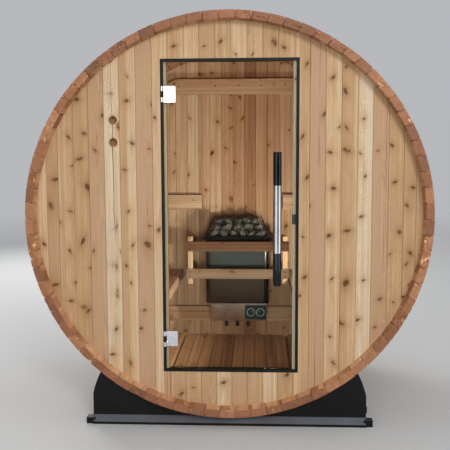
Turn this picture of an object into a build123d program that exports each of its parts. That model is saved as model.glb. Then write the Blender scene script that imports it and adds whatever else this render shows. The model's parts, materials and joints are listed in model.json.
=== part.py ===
from build123d import *
import os
from math import cos, pi, radians, sin, sqrt, tan

# Barrel sauna in millimetres: X to the right, Y to the back, Z up.
# The origin is on the ground, below the middle of the barrel.

# Barrel of bead-and-cove staves
barrel_diameter = 1829.0
barrel_length = 1219.0
stave_thickness = 35.0
stave_count = 78
panel_count = 6
stave_gap = 0.5
bead_width = 16.0
bead_crown = 7.0
bead_rise = 4.0
croze_depth = 11.0
croze_clearance = 0.3
inside_clearance = 0.5

# Round end walls, set back from the rim
rim_depth = 65.0
wall_thickness = 38.0

# Cradles under the barrel
cradle_web = 176.0
cradle_wall = 12.0
cradle_skirt = 26.0
cradle_skirt_height = 38.0
cradle_lip_height = 12.0
cradle_inset = 52.0
cradle_floor = 56.0
cradle_side_height = 140.0
cradle_wrap_angle = 40.0
cradle_pocket_angle = 36.0
cradle_foot_reach = 52.0
cradle_horn_bow = 6.0
cradle_lug = 29.0
cradle_lug_height = 30.0
cradle_lug_depth = 40.0
cradle_lug_setback = 6.0
cradle_clearance = 0.3

# Steel bands round the staves
band_width = 25.0
band_thickness = 1.5
band_inset = 330.0
band_clearance = 0.2
band_opening_angle = 2.4
band_angle = 20.0
band_lug_height = 26.0
band_lug_thickness = 6.0
band_nut_radius = 8.0
band_nut_length = 8.0

# Doorway and glass door
door_centre_x = 10.0
doorway_width = 623.0
doorway_top_margin = 199.3
doorway_bottom_margin = 197.7
frame_width = 12.0
frame_proud = 1.0
glass_thickness = 8.0
glass_gap = 5.0
glass_setback = 1.0
stop_width = 14.0
catch_width = 18.0
catch_height = 46.0
catch_depth = 14.0
catch_drop = 5.0

# Clamp hinges at the left edge of the glass
hinge_end_distance = 157.0
hinge_plate_width = 51.0
hinge_plate_height = 71.0
hinge_plate_thickness = 5.0
hinge_pin_inset = 9.0
hinge_pin_radius = 3.0
hinge_pin_clearance = 0.3
knuckle_radius = 7.0
knuckle_height = 21.0
knuckle_play = 1.0

# Pull handles on both faces of the glass
handle_length = 600.0
handle_radius = 18.0
handle_inset = 85.5
handle_gap = 30.0
handle_post_radius = 10.0
handle_post_inset = 70.0

# Two air holes in the front wall and the slide behind them
vent_radius = 19.5
vent_beside_doorway = 217.5
vent_height_share = 0.4868
vent_spacing = 100.0
vent_slide_width = 120.0
vent_slide_margin = 45.0
vent_slide_thickness = 18.0

# Floor
floor_above_staves = 101.7
floor_board_count = 10
floor_board_width = 60.0
floor_board_gap = 2.0
floor_board_thickness = 20.0
joist_count = 3
joist_width = 38.0
joist_end_distance = 70.0

# Benches along both sides
bench_above_floor = 408.0
bench_outside_doorway = 5.5
bench_fascia_thickness = 25.0
bench_fascia_height = 55.0
bench_slat_count = 4
bench_slat_gap = 9.0
bench_slat_thickness = 27.0
bench_ledger_height = 60.0
bench_ledger_thickness = 38.0

# Cleats that tie the wall boards together
cleat_height = 89.0
cleat_thickness = 38.0
cleat_slope = 25.0
cleat_top_margin = 179.3
cleat_top_end_gap = 136.0
cleat_above_centre = 50.2
cleat_middle_left_end = -199.0
cleat_middle_right_end = 287.0
cleat_bottom_margin = 195.7
cleat_bottom_end_gap = 167.0
cleat_front_gap = 30.0

# Wall-hung heater
heater_x = 18.0
heater_width = 364.0
heater_depth = 226.0
heater_height = 372.0
heater_above_floor = 247.0
heater_corner_radius = 28.0
heater_wall_gap = 20.0
heater_rim_width = 392.0
heater_rim_height = 14.0
heater_rim_lip = 14.0
stone_base_width = 350.0
stone_base_depth = 196.0
stone_height = 104.0
stone_slope = 23.0
bracket_width = 240.0
bracket_height = 300.0
control_box_width = 320.0
control_box_height = 100.0
control_box_depth = 190.0
control_box_proud = 8.0
dial_panel_width = 123.0
dial_panel_height = 84.0
dial_panel_thickness = 2.0
dial_radius = 24.0
dial_spacing = 54.0
dial_depth = 16.0
gland_count = 3
gland_nut_radius = 13.0
gland_nut_height = 12.0
gland_cap_radius = 10.0
gland_cap_height = 30.0
gland_spacing = 63.0
gland_inset = 48.0

# Rod cage that holds the stones
cage_rod = 6.0
cage_gap = 4.0
cage_rod_count = 6

# Wooden guard round the heater
guard_left_gap = 57.0
guard_right_gap = 12.0
guard_heater_gap = 32.5
guard_post_width = 28.0
guard_post_height = 271.0
guard_above_floor = 371.0
guard_rail_thickness = 20.0
guard_rail_height = 54.0
guard_rail_overhang = 6.0
guard_upper_rail_rise = 189.0
guard_lower_rail_rise = 34.0

# Each stave is flat, so its faces lie a little inside the circle through its corners.
outer_radius = barrel_diameter / 2
corner_share = cos(pi / stave_count)
outer_flat = outer_radius * corner_share
inner_flat = outer_flat - stave_thickness
wall_radius = inner_flat + croze_depth - croze_clearance
centre_z = outer_radius + cradle_floor + cradle_clearance
lowest_z = centre_z - outer_radius
highest_z = centre_z + outer_radius
front_y = -barrel_length / 2
front_wall_y = front_y + rim_depth
room_front_y = front_wall_y + wall_thickness
room_back_y = -room_front_y
rear_wall_y = room_back_y

doorway_left = door_centre_x - doorway_width / 2
doorway_right = door_centre_x + doorway_width / 2
doorway_sill = lowest_z + doorway_bottom_margin
doorway_top = highest_z - doorway_top_margin
frame_left = doorway_left + frame_width
frame_right = doorway_right - frame_width
frame_bottom = doorway_sill + frame_width
frame_top = doorway_top - frame_width
glass_front_y = front_wall_y + glass_setback
glass_back_y = glass_front_y + glass_thickness
stop_front_y = glass_back_y + glass_gap
door_middle_z = (doorway_sill + doorway_top) / 2
pin_x = doorway_left + hinge_pin_inset
frame_front_y = front_wall_y - frame_proud
pin_y = frame_front_y - knuckle_play - knuckle_radius
handle_x = frame_right - handle_inset
vent_x = doorway_left - vent_beside_doorway
vent_upper_z = centre_z + vent_height_share * outer_radius
floor_height = lowest_z + floor_above_staves
bench_height = floor_height + bench_above_floor
bench_front_x = doorway_width / 2 + bench_outside_doorway
heater_front_y = room_back_y - heater_wall_gap - heater_depth
heater_bottom_z = floor_height + heater_above_floor
heater_top_z = heater_bottom_z + heater_height
stone_foot_z = heater_top_z + heater_rim_height
stone_middle_y = heater_front_y + heater_depth / 2


def block(x_range, y_range, z_range):
    """A rectangular piece between two limits on each axis."""
    low = Vector(x_range[0], y_range[0], z_range[0])
    high = Vector(x_range[1], y_range[1], z_range[1])
    size = high - low
    return Pos(*((low + high) * 0.5)) * Box(size.X, size.Y, size.Z)


def disc(radius, y_low, y_high):
    """A round plate about the barrel's axis."""
    middle = Pos(0, (y_low + y_high) / 2, centre_z)
    return middle * Rot(90, 0, 0) * Cylinder(radius, y_high - y_low)


def upright(radius, x, y, z_low, z_high):
    """A vertical round bar."""
    return Pos(x, y, (z_low + z_high) / 2) * Cylinder(radius, z_high - z_low)


def rod_along_y(radius, x, z, y_low, y_high):
    """A round bar from front to back."""
    return Pos(x, (y_low + y_high) / 2, z) * Rot(90, 0, 0) * Cylinder(radius, y_high - y_low)


def on_circle(radius, angle, shift=0.0):
    """A point at an angle from the top of the barrel, moved along the tangent."""
    turn = radians(angle)
    return Vector(
        radius * sin(turn) + shift * cos(turn), 0, radius * cos(turn) - shift * sin(turn)
    )


def inside_staves(piece):
    """The part of a piece that fits inside the staves with its clearance."""
    return piece & disc(inner_flat - inside_clearance, room_front_y, room_back_y)


def half_chord(z):
    """Half the room's width at a height, from stave to stave."""
    return sqrt((inner_flat - inside_clearance) ** 2 - (z - centre_z) ** 2)


def save(name, *solids):
    """Writes one named piece, or several like pieces that don't touch."""
    whole = solids[0] if len(solids) == 1 else Compound(children=list(solids))
    export_step(whole, f"parts/{name}.step")


def stave_section():
    """One stave's end: a bead on its right edge and a cove on its left."""
    half_pitch = 180 / stave_count
    bead_middle = inner_flat + croze_depth + bead_width / 2
    profile = [
        (inner_flat, 0),
        (bead_middle - bead_width / 2, 0),
        (bead_middle - bead_crown / 2, bead_rise),
        (bead_middle + bead_crown / 2, bead_rise),
        (bead_middle + bead_width / 2, 0),
        (outer_flat, 0),
    ]

    def edge(angle, gap):
        return [on_circle(flat / corner_share, angle, gap + rise) for flat, rise in profile]

    outline = Polyline(*edge(half_pitch, 0), *reversed(edge(-half_pitch, stave_gap)), close=True)
    return Face(Wire(outline.edges()))


def one_stave():
    """A full-length stave with the two crozes that hold the end walls."""
    section = Pos(0, front_y, centre_z) * stave_section()
    stave = extrude(section, amount=barrel_length, dir=(0, 1, 0))
    inner_face_z = centre_z + inner_flat
    for wall_y in (front_wall_y, rear_wall_y):
        stave -= block(
            (-stave_thickness * 2, stave_thickness * 2),
            (wall_y - croze_clearance, wall_y + wall_thickness + croze_clearance),
            (inner_face_z - croze_depth, inner_face_z + croze_depth),
        )
    return stave


def make_staves():
    """The staves, in panels that go round from the top."""
    stave = one_stave()
    axis = Axis((0, 0, centre_z), (0, 1, 0))
    pitch = 360 / stave_count
    per_panel = stave_count // panel_count
    names = ["top", "upper_right", "lower_right", "bottom", "lower_left", "upper_left"]
    for panel in range(panel_count):
        first = panel * per_panel - (per_panel - 1) / 2
        copies = [stave.rotate(axis, (first + i) * pitch) for i in range(per_panel)]
        save(f"staves_{names[panel]}", *copies)


def make_band(name, y_middle):
    """A flat steel band whose two lugs are drawn together by a hexagonal sleeve and nuts."""
    inner = outer_radius + band_clearance
    low = y_middle - band_width / 2
    high = y_middle + band_width / 2
    plane = Plane(origin=(0, high, centre_z), x_dir=(1, 0, 0), z_dir=(0, -1, 0))
    corner_turn = 90 + 180 / stave_count
    hoop = RegularPolygon(inner + band_thickness, stave_count, rotation=corner_turn)
    hoop -= RegularPolygon(inner, stave_count, rotation=corner_turn)
    ring = extrude(plane * hoop, amount=band_width)
    reach = inner + band_lug_height
    opening = 2 * reach * sin(radians(band_opening_angle / 2))
    gap = block((0, 2 * reach), (low, high), (-opening / 2, opening / 2))
    turn = Pos(0, 0, centre_z) * Rot(0, band_angle, 0)
    ring -= turn * gap
    for side in (-1, 1):
        face = side * opening / 2
        ends = sorted((face, face + side * band_lug_thickness))
        ring += turn * block((inner, reach), (low, high), ends)
    grip = opening / 2 + band_lug_thickness
    nut_end = grip + band_nut_length
    screw_x = inner + band_thickness + (band_lug_height - band_thickness) / 2
    for low_z, high_z in ((-opening / 2, opening / 2), (grip, nut_end), (-nut_end, -grip)):
        hexagon = extrude(RegularPolygon(band_nut_radius, 6), amount=high_z - low_z)
        ring += turn * Pos(screw_x, y_middle, low_z) * hexagon
    save(name, ring)


def make_bands():
    """The two bands stand clear of the cradles."""
    make_band("band_front", front_y + band_inset)
    make_band("band_rear", -front_y - band_inset)


def make_cradle(name, side):
    """A hollow moulded saddle, open below, with a sloping skirt and two lugs at each end."""
    seat_radius = outer_radius + cradle_clearance
    centre = Vector(0, 0, centre_z)
    horn = on_circle(seat_radius, 180 - cradle_wrap_angle) + centre
    half_width = horn.X + cradle_foot_reach
    shoulder = Vector(half_width, 0, cradle_side_height)
    bow = (shoulder + horn) * 0.5 + Vector(cradle_horn_bow, 0, 0)
    ceiling_radius = seat_radius + cradle_wall
    pocket_horn = on_circle(ceiling_radius, 180 - cradle_pocket_angle) + centre
    pocket_shoulder = shoulder - Vector(cradle_wall, 0, 0)

    def across(point):
        return Vector(-point.X, 0, point.Z)

    def slab(edges, thickness):
        """A flat shape between its edges, the same depth before and behind the middle."""
        return extrude(Face(Wire(edges)), amount=thickness / 2, dir=(0, 1, 0), both=True)

    def ends(corner):
        """The upright side under a corner and the line along the ground."""
        foot = Vector(corner.X, 0, 0)
        return [Line(across(foot), foot), Line(foot, corner), Line(across(corner), across(foot))]

    web = slab(
        ends(shoulder)
        + [
            ThreePointArc(shoulder, bow, horn),
            ThreePointArc(horn, centre - Vector(0, 0, seat_radius), across(horn)),
            ThreePointArc(across(horn), across(bow), across(shoulder)),
        ],
        cradle_web,
    )
    pocket = slab(
        ends(pocket_shoulder)
        + [
            Line(pocket_shoulder, pocket_horn),
            ThreePointArc(pocket_horn, centre - Vector(0, 0, ceiling_radius), across(pocket_horn)),
            Line(across(pocket_horn), across(pocket_shoulder)),
        ],
        cradle_web - 2 * cradle_wall,
    )
    cradle = web - pocket
    web_face = cradle_web / 2
    reach = web_face + cradle_skirt
    lug_face = reach - cradle_lug_setback
    for face in (-1, 1):
        skirt = Polyline(
            (-half_width, face * (web_face - cradle_wall), 0),
            (-half_width, face * reach, 0),
            (-half_width, face * reach, cradle_lip_height),
            (-half_width, face * web_face, cradle_skirt_height),
            (-half_width, face * (web_face - cradle_wall), cradle_skirt_height),
            close=True,
        )
        cradle += extrude(make_face(skirt), amount=2 * half_width, dir=(1, 0, 0))
        lug_y = sorted((face * lug_face, face * (lug_face - cradle_lug_depth)))
        for end in (-1, 1):
            lug_x = sorted((end * (half_width - cradle_wall), end * (half_width + cradle_lug)))
            cradle += block(lug_x, lug_y, (0, cradle_lug_height))
    middle_y = side * (-front_y - cradle_inset - reach)
    save(name, Pos(0, middle_y, 0) * cradle)


def make_cradles():
    """One cradle near each end of the barrel."""
    make_cradle("cradle_front", -1)
    make_cradle("cradle_rear", 1)


def make_end_walls():
    """The rear wall is whole, the front wall is split round the doorway."""
    save("rear_wall", disc(wall_radius, rear_wall_y, rear_wall_y + wall_thickness))
    plate = disc(wall_radius, front_wall_y, room_front_y)
    y_range = (front_wall_y, room_front_y)
    top = centre_z + wall_radius
    bottom = centre_z - wall_radius
    left = plate & block((-wall_radius, doorway_left), y_range, (bottom, top))
    for z in (vent_upper_z, vent_upper_z - vent_spacing):
        left -= rod_along_y(vent_radius, vent_x, z, *y_range)
    right = plate & block((doorway_right, wall_radius), y_range, (bottom, top))
    over = plate & block((doorway_left, doorway_right), y_range, (doorway_top, top))
    under = plate & block((doorway_left, doorway_right), y_range, (bottom, doorway_sill))
    save("front_wall_left", left)
    save("front_wall_right", right)
    save("front_wall_over_door", over)
    save("front_wall_under_door", under)


def make_vent_slide():
    """The board that closes the two air holes from the room."""
    half = vent_slide_width / 2
    low = vent_upper_z - vent_spacing - vent_slide_margin
    high = vent_upper_z + vent_slide_margin
    y_range = (room_front_y, room_front_y + vent_slide_thickness)
    save("vent_slide", block((vent_x - half, vent_x + half), y_range, (low, high)))


def end_cleat(outer_z, inner_z, end_gap, y_range):
    """A cleat whose two ends slope with the round wall, wider towards the middle."""
    narrow = half_chord(outer_z) - end_gap
    wide = narrow + cleat_height / tan(radians(cleat_slope))
    corners = [(-wide, inner_z), (-narrow, outer_z), (narrow, outer_z), (wide, inner_z)]
    outline = Polyline(*[Vector(x, y_range[0], z) for x, z in corners], close=True)
    return extrude(Face(Wire(outline.edges())), amount=y_range[1] - y_range[0], dir=(0, 1, 0))


def make_cleats():
    """Cleats on the room side of both end walls."""
    middle_top = centre_z + cleat_above_centre
    middle = (middle_top - cleat_height, middle_top)
    top_z = highest_z - cleat_top_margin
    bottom_z = lowest_z + cleat_bottom_margin
    rear_y = (room_back_y - cleat_thickness, room_back_y)
    front_y_range = (room_front_y, room_front_y + cleat_thickness)
    rear_left = block((-outer_radius, cleat_middle_left_end), rear_y, middle)
    rear_right = block((cleat_middle_right_end, outer_radius), rear_y, middle)
    save(
        "rear_cleats",
        end_cleat(top_z, top_z - cleat_height, cleat_top_end_gap, rear_y),
        inside_staves(rear_left),
        inside_staves(rear_right),
        end_cleat(bottom_z, bottom_z + cleat_height, cleat_bottom_end_gap, rear_y),
    )
    left_end = doorway_left - cleat_front_gap
    right_end = doorway_right + cleat_front_gap
    front_left = block((-outer_radius, left_end), front_y_range, middle)
    front_right = block((right_end, outer_radius), front_y_range, middle)
    save("front_cleats", inside_staves(front_left), inside_staves(front_right))


def make_floor():
    """Floor boards from wall to wall on joists shaped to the staves."""
    board_z = (floor_height - floor_board_thickness, floor_height)
    half = floor_board_count * floor_board_width / 2
    boards = []
    for i in range(floor_board_count):
        low = -half + i * floor_board_width + floor_board_gap / 2
        high = low + floor_board_width - floor_board_gap
        boards.append(inside_staves(block((low, high), (room_front_y, room_back_y), board_z)))
    save("floor_boards", *boards)
    first = room_front_y + joist_end_distance
    step = (room_back_y - joist_end_distance - first) / (joist_count - 1)
    joists = []
    for i in range(joist_count):
        low = first + i * step - joist_width / 2
        under_boards = block(
            (-outer_radius, outer_radius), (low, low + joist_width), (lowest_z, board_z[0])
        )
        joists.append(inside_staves(under_boards))
    save("floor_joists", *joists)


def make_bench(side_name, side):
    """A slatted bench from wall to wall, with a fascia and two ledgers."""
    y_range = (room_front_y, room_back_y)
    slat_z = (bench_height - bench_slat_thickness, bench_height)
    fascia_back = bench_front_x + bench_fascia_thickness

    def beam(near, far, y_limits, z_limits):
        return block(sorted((side * near, side * far)), y_limits, z_limits)

    save(
        f"{side_name}_bench_fascia",
        beam(bench_front_x, fascia_back, y_range, (bench_height - bench_fascia_height, bench_height)),
    )
    pitch = (half_chord(bench_height) - fascia_back + bench_slat_gap) / bench_slat_count
    slats = []
    for i in range(bench_slat_count):
        near = fascia_back + i * pitch
        slats.append(inside_staves(beam(near, near + pitch - bench_slat_gap, y_range, slat_z)))
    save(f"{side_name}_bench_slats", *slats)
    ledger_z = (slat_z[0] - bench_ledger_height, slat_z[0])
    ledgers = []
    for y_limits in (
        (room_front_y, room_front_y + bench_ledger_thickness),
        (room_back_y - bench_ledger_thickness, room_back_y),
    ):
        ledgers.append(inside_staves(beam(fascia_back, outer_radius, y_limits, ledger_z)))
    save(f"{side_name}_bench_ledgers", *ledgers)


def make_benches():
    """The right bench mirrors the left one."""
    make_bench("left", -1)
    make_bench("right", 1)


def make_door_frame():
    """A dark frame round the doorway, with the stops and the catch behind the glass."""
    y_range = (frame_front_y, room_front_y)
    outer = block((doorway_left, doorway_right), y_range, (doorway_sill, doorway_top))
    save("door_frame", outer - block((frame_left, frame_right), y_range, (frame_bottom, frame_top)))
    stop_y = (stop_front_y, room_front_y)
    catch_middle = door_middle_z - catch_drop
    catch_z = (catch_middle - catch_height / 2, catch_middle + catch_height / 2)
    save(
        "door_stops",
        block((frame_left, frame_left + stop_width), stop_y, (frame_bottom, frame_top)),
        block((frame_right - stop_width, frame_right), stop_y, (frame_bottom, catch_z[0])),
        block((frame_right - stop_width, frame_right), stop_y, (catch_z[1], frame_top)),
    )
    catch_y = (stop_front_y, stop_front_y + catch_depth)
    save("door_catch", block((frame_right - catch_width, frame_right), catch_y, catch_z))


def make_door_glass():
    """A frameless pane that hangs on the two hinges."""
    save(
        "door_glass",
        block(
            (frame_left + glass_gap, frame_right - glass_gap),
            (glass_front_y, glass_back_y),
            (frame_bottom + glass_gap, frame_top - glass_gap),
        ),
    )


def hinge_pieces(z_middle):
    """A clamp hinge: two knuckles and the pin on the moving plate, one knuckle on the block."""
    half = hinge_plate_height / 2
    z_range = (z_middle - half, z_middle + half)
    plate_left = frame_left + glass_gap
    plate_right = plate_left + hinge_plate_width
    plate_y = (glass_front_y - hinge_plate_thickness, glass_front_y)
    leaf = block((plate_left, plate_right), plate_y, z_range)
    for z_low in (z_range[0], z_range[1] - knuckle_height):
        z_high = z_low + knuckle_height
        leaf += upright(knuckle_radius, pin_x, pin_y, z_low, z_high)
        tab_y = (pin_y, pin_y + knuckle_radius - knuckle_play / 2)
        leaf += block((pin_x, plate_left + hinge_plate_thickness), tab_y, (z_low, z_high))
    pin_half = half - knuckle_height
    leaf += upright(hinge_pin_radius, pin_x, pin_y, z_middle - pin_half, z_middle + pin_half)
    stop_edge = frame_left + stop_width
    clamp = block(
        (stop_edge + glass_gap, plate_right),
        (glass_back_y, glass_back_y + hinge_plate_thickness),
        z_range,
    )
    fixed_half = pin_half - knuckle_play
    fixed_z = (z_middle - fixed_half, z_middle + fixed_half)
    fixed = upright(knuckle_radius, pin_x, pin_y, *fixed_z)
    fixed += block(
        (pin_x - knuckle_radius, pin_x + knuckle_radius / 2), (pin_y, frame_front_y), fixed_z
    )
    fixed -= upright(hinge_pin_radius + hinge_pin_clearance, pin_x, pin_y, *fixed_z)
    return leaf, clamp, fixed


def make_hinges():
    """Two hinges at the same distance from the doorway's top and bottom."""
    upper = hinge_pieces(doorway_top - hinge_end_distance)
    lower = hinge_pieces(doorway_sill + hinge_end_distance)
    save("hinge_leaves", *upper[:2], *lower[:2])
    save("hinge_blocks", upper[2], lower[2])


def make_handle(name, glass_y, side):
    """An upright tube on two posts that stand on the glass."""
    tube_y = glass_y + side * (handle_gap + handle_radius)
    half = handle_length / 2
    handle = upright(handle_radius, handle_x, tube_y, door_middle_z - half, door_middle_z + half)
    for end in (-1, 1):
        post_z = door_middle_z + end * (half - handle_post_inset)
        handle += rod_along_y(handle_post_radius, handle_x, post_z, *sorted((glass_y, tube_y)))
    save(name, handle)


def make_handles():
    """The same pull on the outside and the inside."""
    make_handle("outer_handle", glass_front_y, -1)
    make_handle("inner_handle", glass_back_y, 1)


def make_heater():
    """A steel box with rounded front corners, hung on the rear wall by a bracket."""
    half = heater_width / 2
    back_y = heater_front_y + heater_depth
    z_range = (heater_bottom_z, heater_top_z)
    body = block((heater_x - half, heater_x + half), (heater_front_y, back_y), z_range)
    front_edges = body.edges().filter_by(Axis.Z).group_by(Axis.Y)[0]
    body = fillet(front_edges, heater_corner_radius)
    bracket_half = bracket_width / 2
    bracket_middle = (z_range[0] + z_range[1]) / 2
    body += block(
        (heater_x - bracket_half, heater_x + bracket_half),
        (back_y, room_back_y),
        (bracket_middle - bracket_height / 2, bracket_middle + bracket_height / 2),
    )
    save("heater_body", body)
    rim_half = heater_rim_width / 2
    rim_y = (heater_front_y - heater_rim_lip, back_y)
    rim = block((heater_x - rim_half, heater_x + rim_half), rim_y, (heater_top_z, stone_foot_z))
    save("heater_rim", rim)
    base = Pos(heater_x, stone_middle_y, stone_foot_z) * Rectangle(stone_base_width, stone_base_depth)
    save("heater_stones", extrude(base, amount=stone_height, taper=stone_slope))


def make_stone_cage():
    """Rods that slope with the pile of stones, tied by a loop round its top."""
    margin = cage_gap + cage_rod / 2

    def half_size(rise):
        inward = rise * tan(radians(stone_slope)) - margin
        return stone_base_width / 2 - inward, stone_base_depth / 2 - inward

    low_x, low_y = half_size(0)
    high_x, high_y = half_size(stone_height)
    loop = Rectangle(2 * high_x + cage_rod, 2 * high_y + cage_rod)
    loop -= Rectangle(2 * high_x - cage_rod, 2 * high_y - cage_rod)
    loop_z = stone_foot_z + stone_height - cage_rod / 2
    cage = Pos(heater_x, stone_middle_y, loop_z) * extrude(loop, amount=cage_rod)
    below = Pos(heater_x, stone_middle_y, stone_foot_z - stone_height / 2) * Box(
        2 * stone_base_width, 2 * stone_base_depth, stone_height
    )
    for i in range(cage_rod_count):
        share = 2 * i / (cage_rod_count - 1) - 1
        for sign in (-1, 1):
            foot = Vector(heater_x + share * low_x, stone_middle_y + sign * low_y, stone_foot_z)
            rise = Vector(share * (high_x - low_x), sign * (high_y - low_y), stone_height)
            plane = Plane(origin=foot, x_dir=(1, 0, 0), z_dir=rise)
            rod = extrude(plane * Rectangle(cage_rod, cage_rod), amount=rise.length)
            cage += rod - below
    save("stone_cage", cage)


def make_control_box():
    """The box under the heater, with its dial panel, two dials and cable glands."""
    left = heater_x - control_box_width / 2 + control_box_proud
    right = left + control_box_width
    front = heater_front_y - control_box_proud
    top = heater_bottom_z
    bottom = top - control_box_height
    save("control_box", block((left, right), (front, front + control_box_depth), (bottom, top)))
    panel_left = right - dial_panel_width
    panel_middle_x = panel_left + dial_panel_width / 2
    panel_middle_z = (top + bottom) / 2
    panel_y = (front - dial_panel_thickness, front)
    panel_z = (panel_middle_z - dial_panel_height / 2, panel_middle_z + dial_panel_height / 2)
    panel = block((panel_left, right), panel_y, panel_z)
    for side in (-1, 1):
        x = panel_middle_x + side * dial_spacing / 2
        panel += rod_along_y(dial_radius, x, panel_middle_z, panel_y[0] - dial_depth, panel_y[0])
    save("dial_panel", panel)
    glands = []
    for i in range(gland_count):
        x = heater_x + (i - (gland_count - 1) / 2) * gland_spacing
        foot = Pos(x, front + gland_inset, bottom)
        nut = extrude(RegularPolygon(gland_nut_radius, 6), amount=-gland_nut_height)
        cap = extrude(RegularPolygon(gland_cap_radius, 6), amount=-gland_cap_height)
        glands.append(foot * (nut + Pos(0, 0, -gland_nut_height) * cap))
    save("cable_glands", *glands)


def make_heater_guard():
    """Two posts with rails across the front and back to the rear wall."""
    left = guard_left_gap - bench_front_x
    right = bench_front_x - guard_right_gap
    foot_z = floor_height + guard_above_floor
    post_z = (foot_z, foot_z + guard_post_height)
    post_back_y = heater_front_y - guard_heater_gap
    post_y = (post_back_y - guard_post_width, post_back_y)
    save(
        "guard_posts",
        block((left, left + guard_post_width), post_y, post_z),
        block((right - guard_post_width, right), post_y, post_z),
    )
    rails = []
    side_rails = []
    rail_y = (post_y[0] - guard_rail_thickness, post_y[0])
    side_y = (post_back_y, room_back_y)
    for rise in (guard_upper_rail_rise, guard_lower_rail_rise):
        z_range = (foot_z + rise, foot_z + rise + guard_rail_height)
        x_range = (left - guard_rail_overhang, right + guard_rail_overhang)
        rails.append(block(x_range, rail_y, z_range))
        side_rails.append(block((left, left + guard_rail_thickness), side_y, z_range))
        side_rails.append(block((right - guard_rail_thickness, right), side_y, z_range))
    save("guard_front_rails", *rails)
    save("guard_side_rails", *side_rails)


os.makedirs("parts", exist_ok=True)
make_staves()
make_bands()
make_cradles()
make_end_walls()
make_vent_slide()
make_cleats()
make_floor()
make_benches()
make_door_frame()
make_door_glass()
make_hinges()
make_handles()
make_heater()
make_stone_cage()
make_control_box()
make_heater_guard()
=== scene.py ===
import json
import random
from math import ceil, cos, hypot, pi, radians, sin, sqrt, tan

import bmesh
import bpy
from mathutils import Matrix, Vector

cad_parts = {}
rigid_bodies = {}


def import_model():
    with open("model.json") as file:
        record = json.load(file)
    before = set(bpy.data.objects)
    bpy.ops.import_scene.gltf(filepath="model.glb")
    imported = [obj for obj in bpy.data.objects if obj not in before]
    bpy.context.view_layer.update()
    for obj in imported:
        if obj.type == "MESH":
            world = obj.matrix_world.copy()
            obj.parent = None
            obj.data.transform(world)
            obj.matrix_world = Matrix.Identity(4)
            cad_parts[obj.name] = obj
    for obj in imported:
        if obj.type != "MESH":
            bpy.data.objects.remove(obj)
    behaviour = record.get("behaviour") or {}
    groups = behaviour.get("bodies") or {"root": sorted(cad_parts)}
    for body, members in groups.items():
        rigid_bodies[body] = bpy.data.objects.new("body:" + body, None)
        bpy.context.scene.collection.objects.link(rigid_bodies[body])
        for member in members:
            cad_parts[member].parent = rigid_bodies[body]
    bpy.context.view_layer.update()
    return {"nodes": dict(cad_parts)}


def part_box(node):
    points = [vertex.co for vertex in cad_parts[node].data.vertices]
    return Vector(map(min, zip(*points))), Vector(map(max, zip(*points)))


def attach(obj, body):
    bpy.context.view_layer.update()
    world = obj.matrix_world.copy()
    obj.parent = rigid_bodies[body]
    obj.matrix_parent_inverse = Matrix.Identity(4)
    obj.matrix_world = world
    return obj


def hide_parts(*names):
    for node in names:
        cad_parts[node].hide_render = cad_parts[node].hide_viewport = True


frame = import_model()
cadNodes = frame["nodes"]
print("frame loaded:", len(cadNodes), "solids")


# The places that every piece starts from, all taken from the frame
staveCount = 78
staveThickness = 0.035
barrelFront, barrelBack = (corner.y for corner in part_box("staves_top"))
lowestStave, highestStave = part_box("staves_bottom")[0].z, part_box("staves_top")[1].z
axisHeight = (lowestStave + highestStave) / 2
outerFlat = (highestStave - lowestStave) / 2
innerFlat = outerFlat - staveThickness
wallFront, wallInside = (corner.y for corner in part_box("front_wall_left"))
wallThickness = wallInside - wallFront
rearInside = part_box("rear_wall")[0].y
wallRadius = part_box("rear_wall")[1].x
wallEdgeGap = 0.0004
wallTongue = 0.006
grooveSlack = 0.0006
grooveDeeper = 0.0005
doorLow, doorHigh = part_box("door_frame")


def stand(name, data):
    # an object in the scene, at the origin
    holder = bpy.data.objects.new(name, data)
    bpy.context.scene.collection.objects.link(holder)
    return holder


# The photograph's camera: it stands on the ground in front, a little to the right
photoView = {
    "imageSize": 450,
    "focalPixels": 693.2,
    "sensorWidth": 36.0,
    "place": Vector((0.1347, -3.6805, 1.2543)),
    "turn": -0.04699,
    "tilt": -0.09966,
    "roll": -0.00399,
}


def cameraAxes():
    turn, tilt, roll = photoView["turn"], photoView["tilt"], photoView["roll"]
    ahead = Vector((sin(turn) * cos(tilt), cos(turn) * cos(tilt), sin(tilt)))
    right = Vector((cos(turn), -sin(turn), 0))
    up = right.cross(ahead)
    return ahead, right * cos(roll) + up * sin(roll), up * cos(roll) - right * sin(roll)


def placeCamera():
    ahead, right, up = cameraAxes()
    data = bpy.data.cameras.new("photoCamera")
    data.sensor_width = photoView["sensorWidth"]
    data.lens = photoView["focalPixels"] * photoView["sensorWidth"] / photoView["imageSize"]
    camera = stand("photoCamera", data)
    turned = Matrix((right, up, -ahead)).transposed().to_4x4()
    camera.matrix_world = Matrix.Translation(photoView["place"]) @ turned
    bpy.context.scene.camera = camera


def pointAtDepth(column, row, depth):
    # the point of the upright plane y = depth that shows at a pixel of the photograph
    ahead, right, up = cameraAxes()
    middle = photoView["imageSize"] / 2
    ray = ahead * photoView["focalPixels"] + right * (column - middle) + up * (middle - row)
    start = photoView["place"]
    point = start + ray * ((depth - start.y) / ray.y)
    return point.x, point.z


placeCamera()
print("camera placed")


# A wire is one output of a node; a sum of wires adds Math nodes to their tree
class Wire:
    def __init__(self, socket):
        self.socket, self.tree = socket, socket.id_data

    def __add__(self, other):
        return calc("ADD", self, other)

    def __sub__(self, other):
        return calc("SUBTRACT", self, other)

    def __rsub__(self, other):
        return calc("SUBTRACT", other, self)

    def __mul__(self, other):
        return calc("MULTIPLY", self, other)

    def __truediv__(self, other):
        return calc("DIVIDE", self, other)


def feed(socket, value):
    if isinstance(value, Wire):
        value.tree.links.new(value.socket, socket)
    else:
        socket.default_value = value


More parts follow.
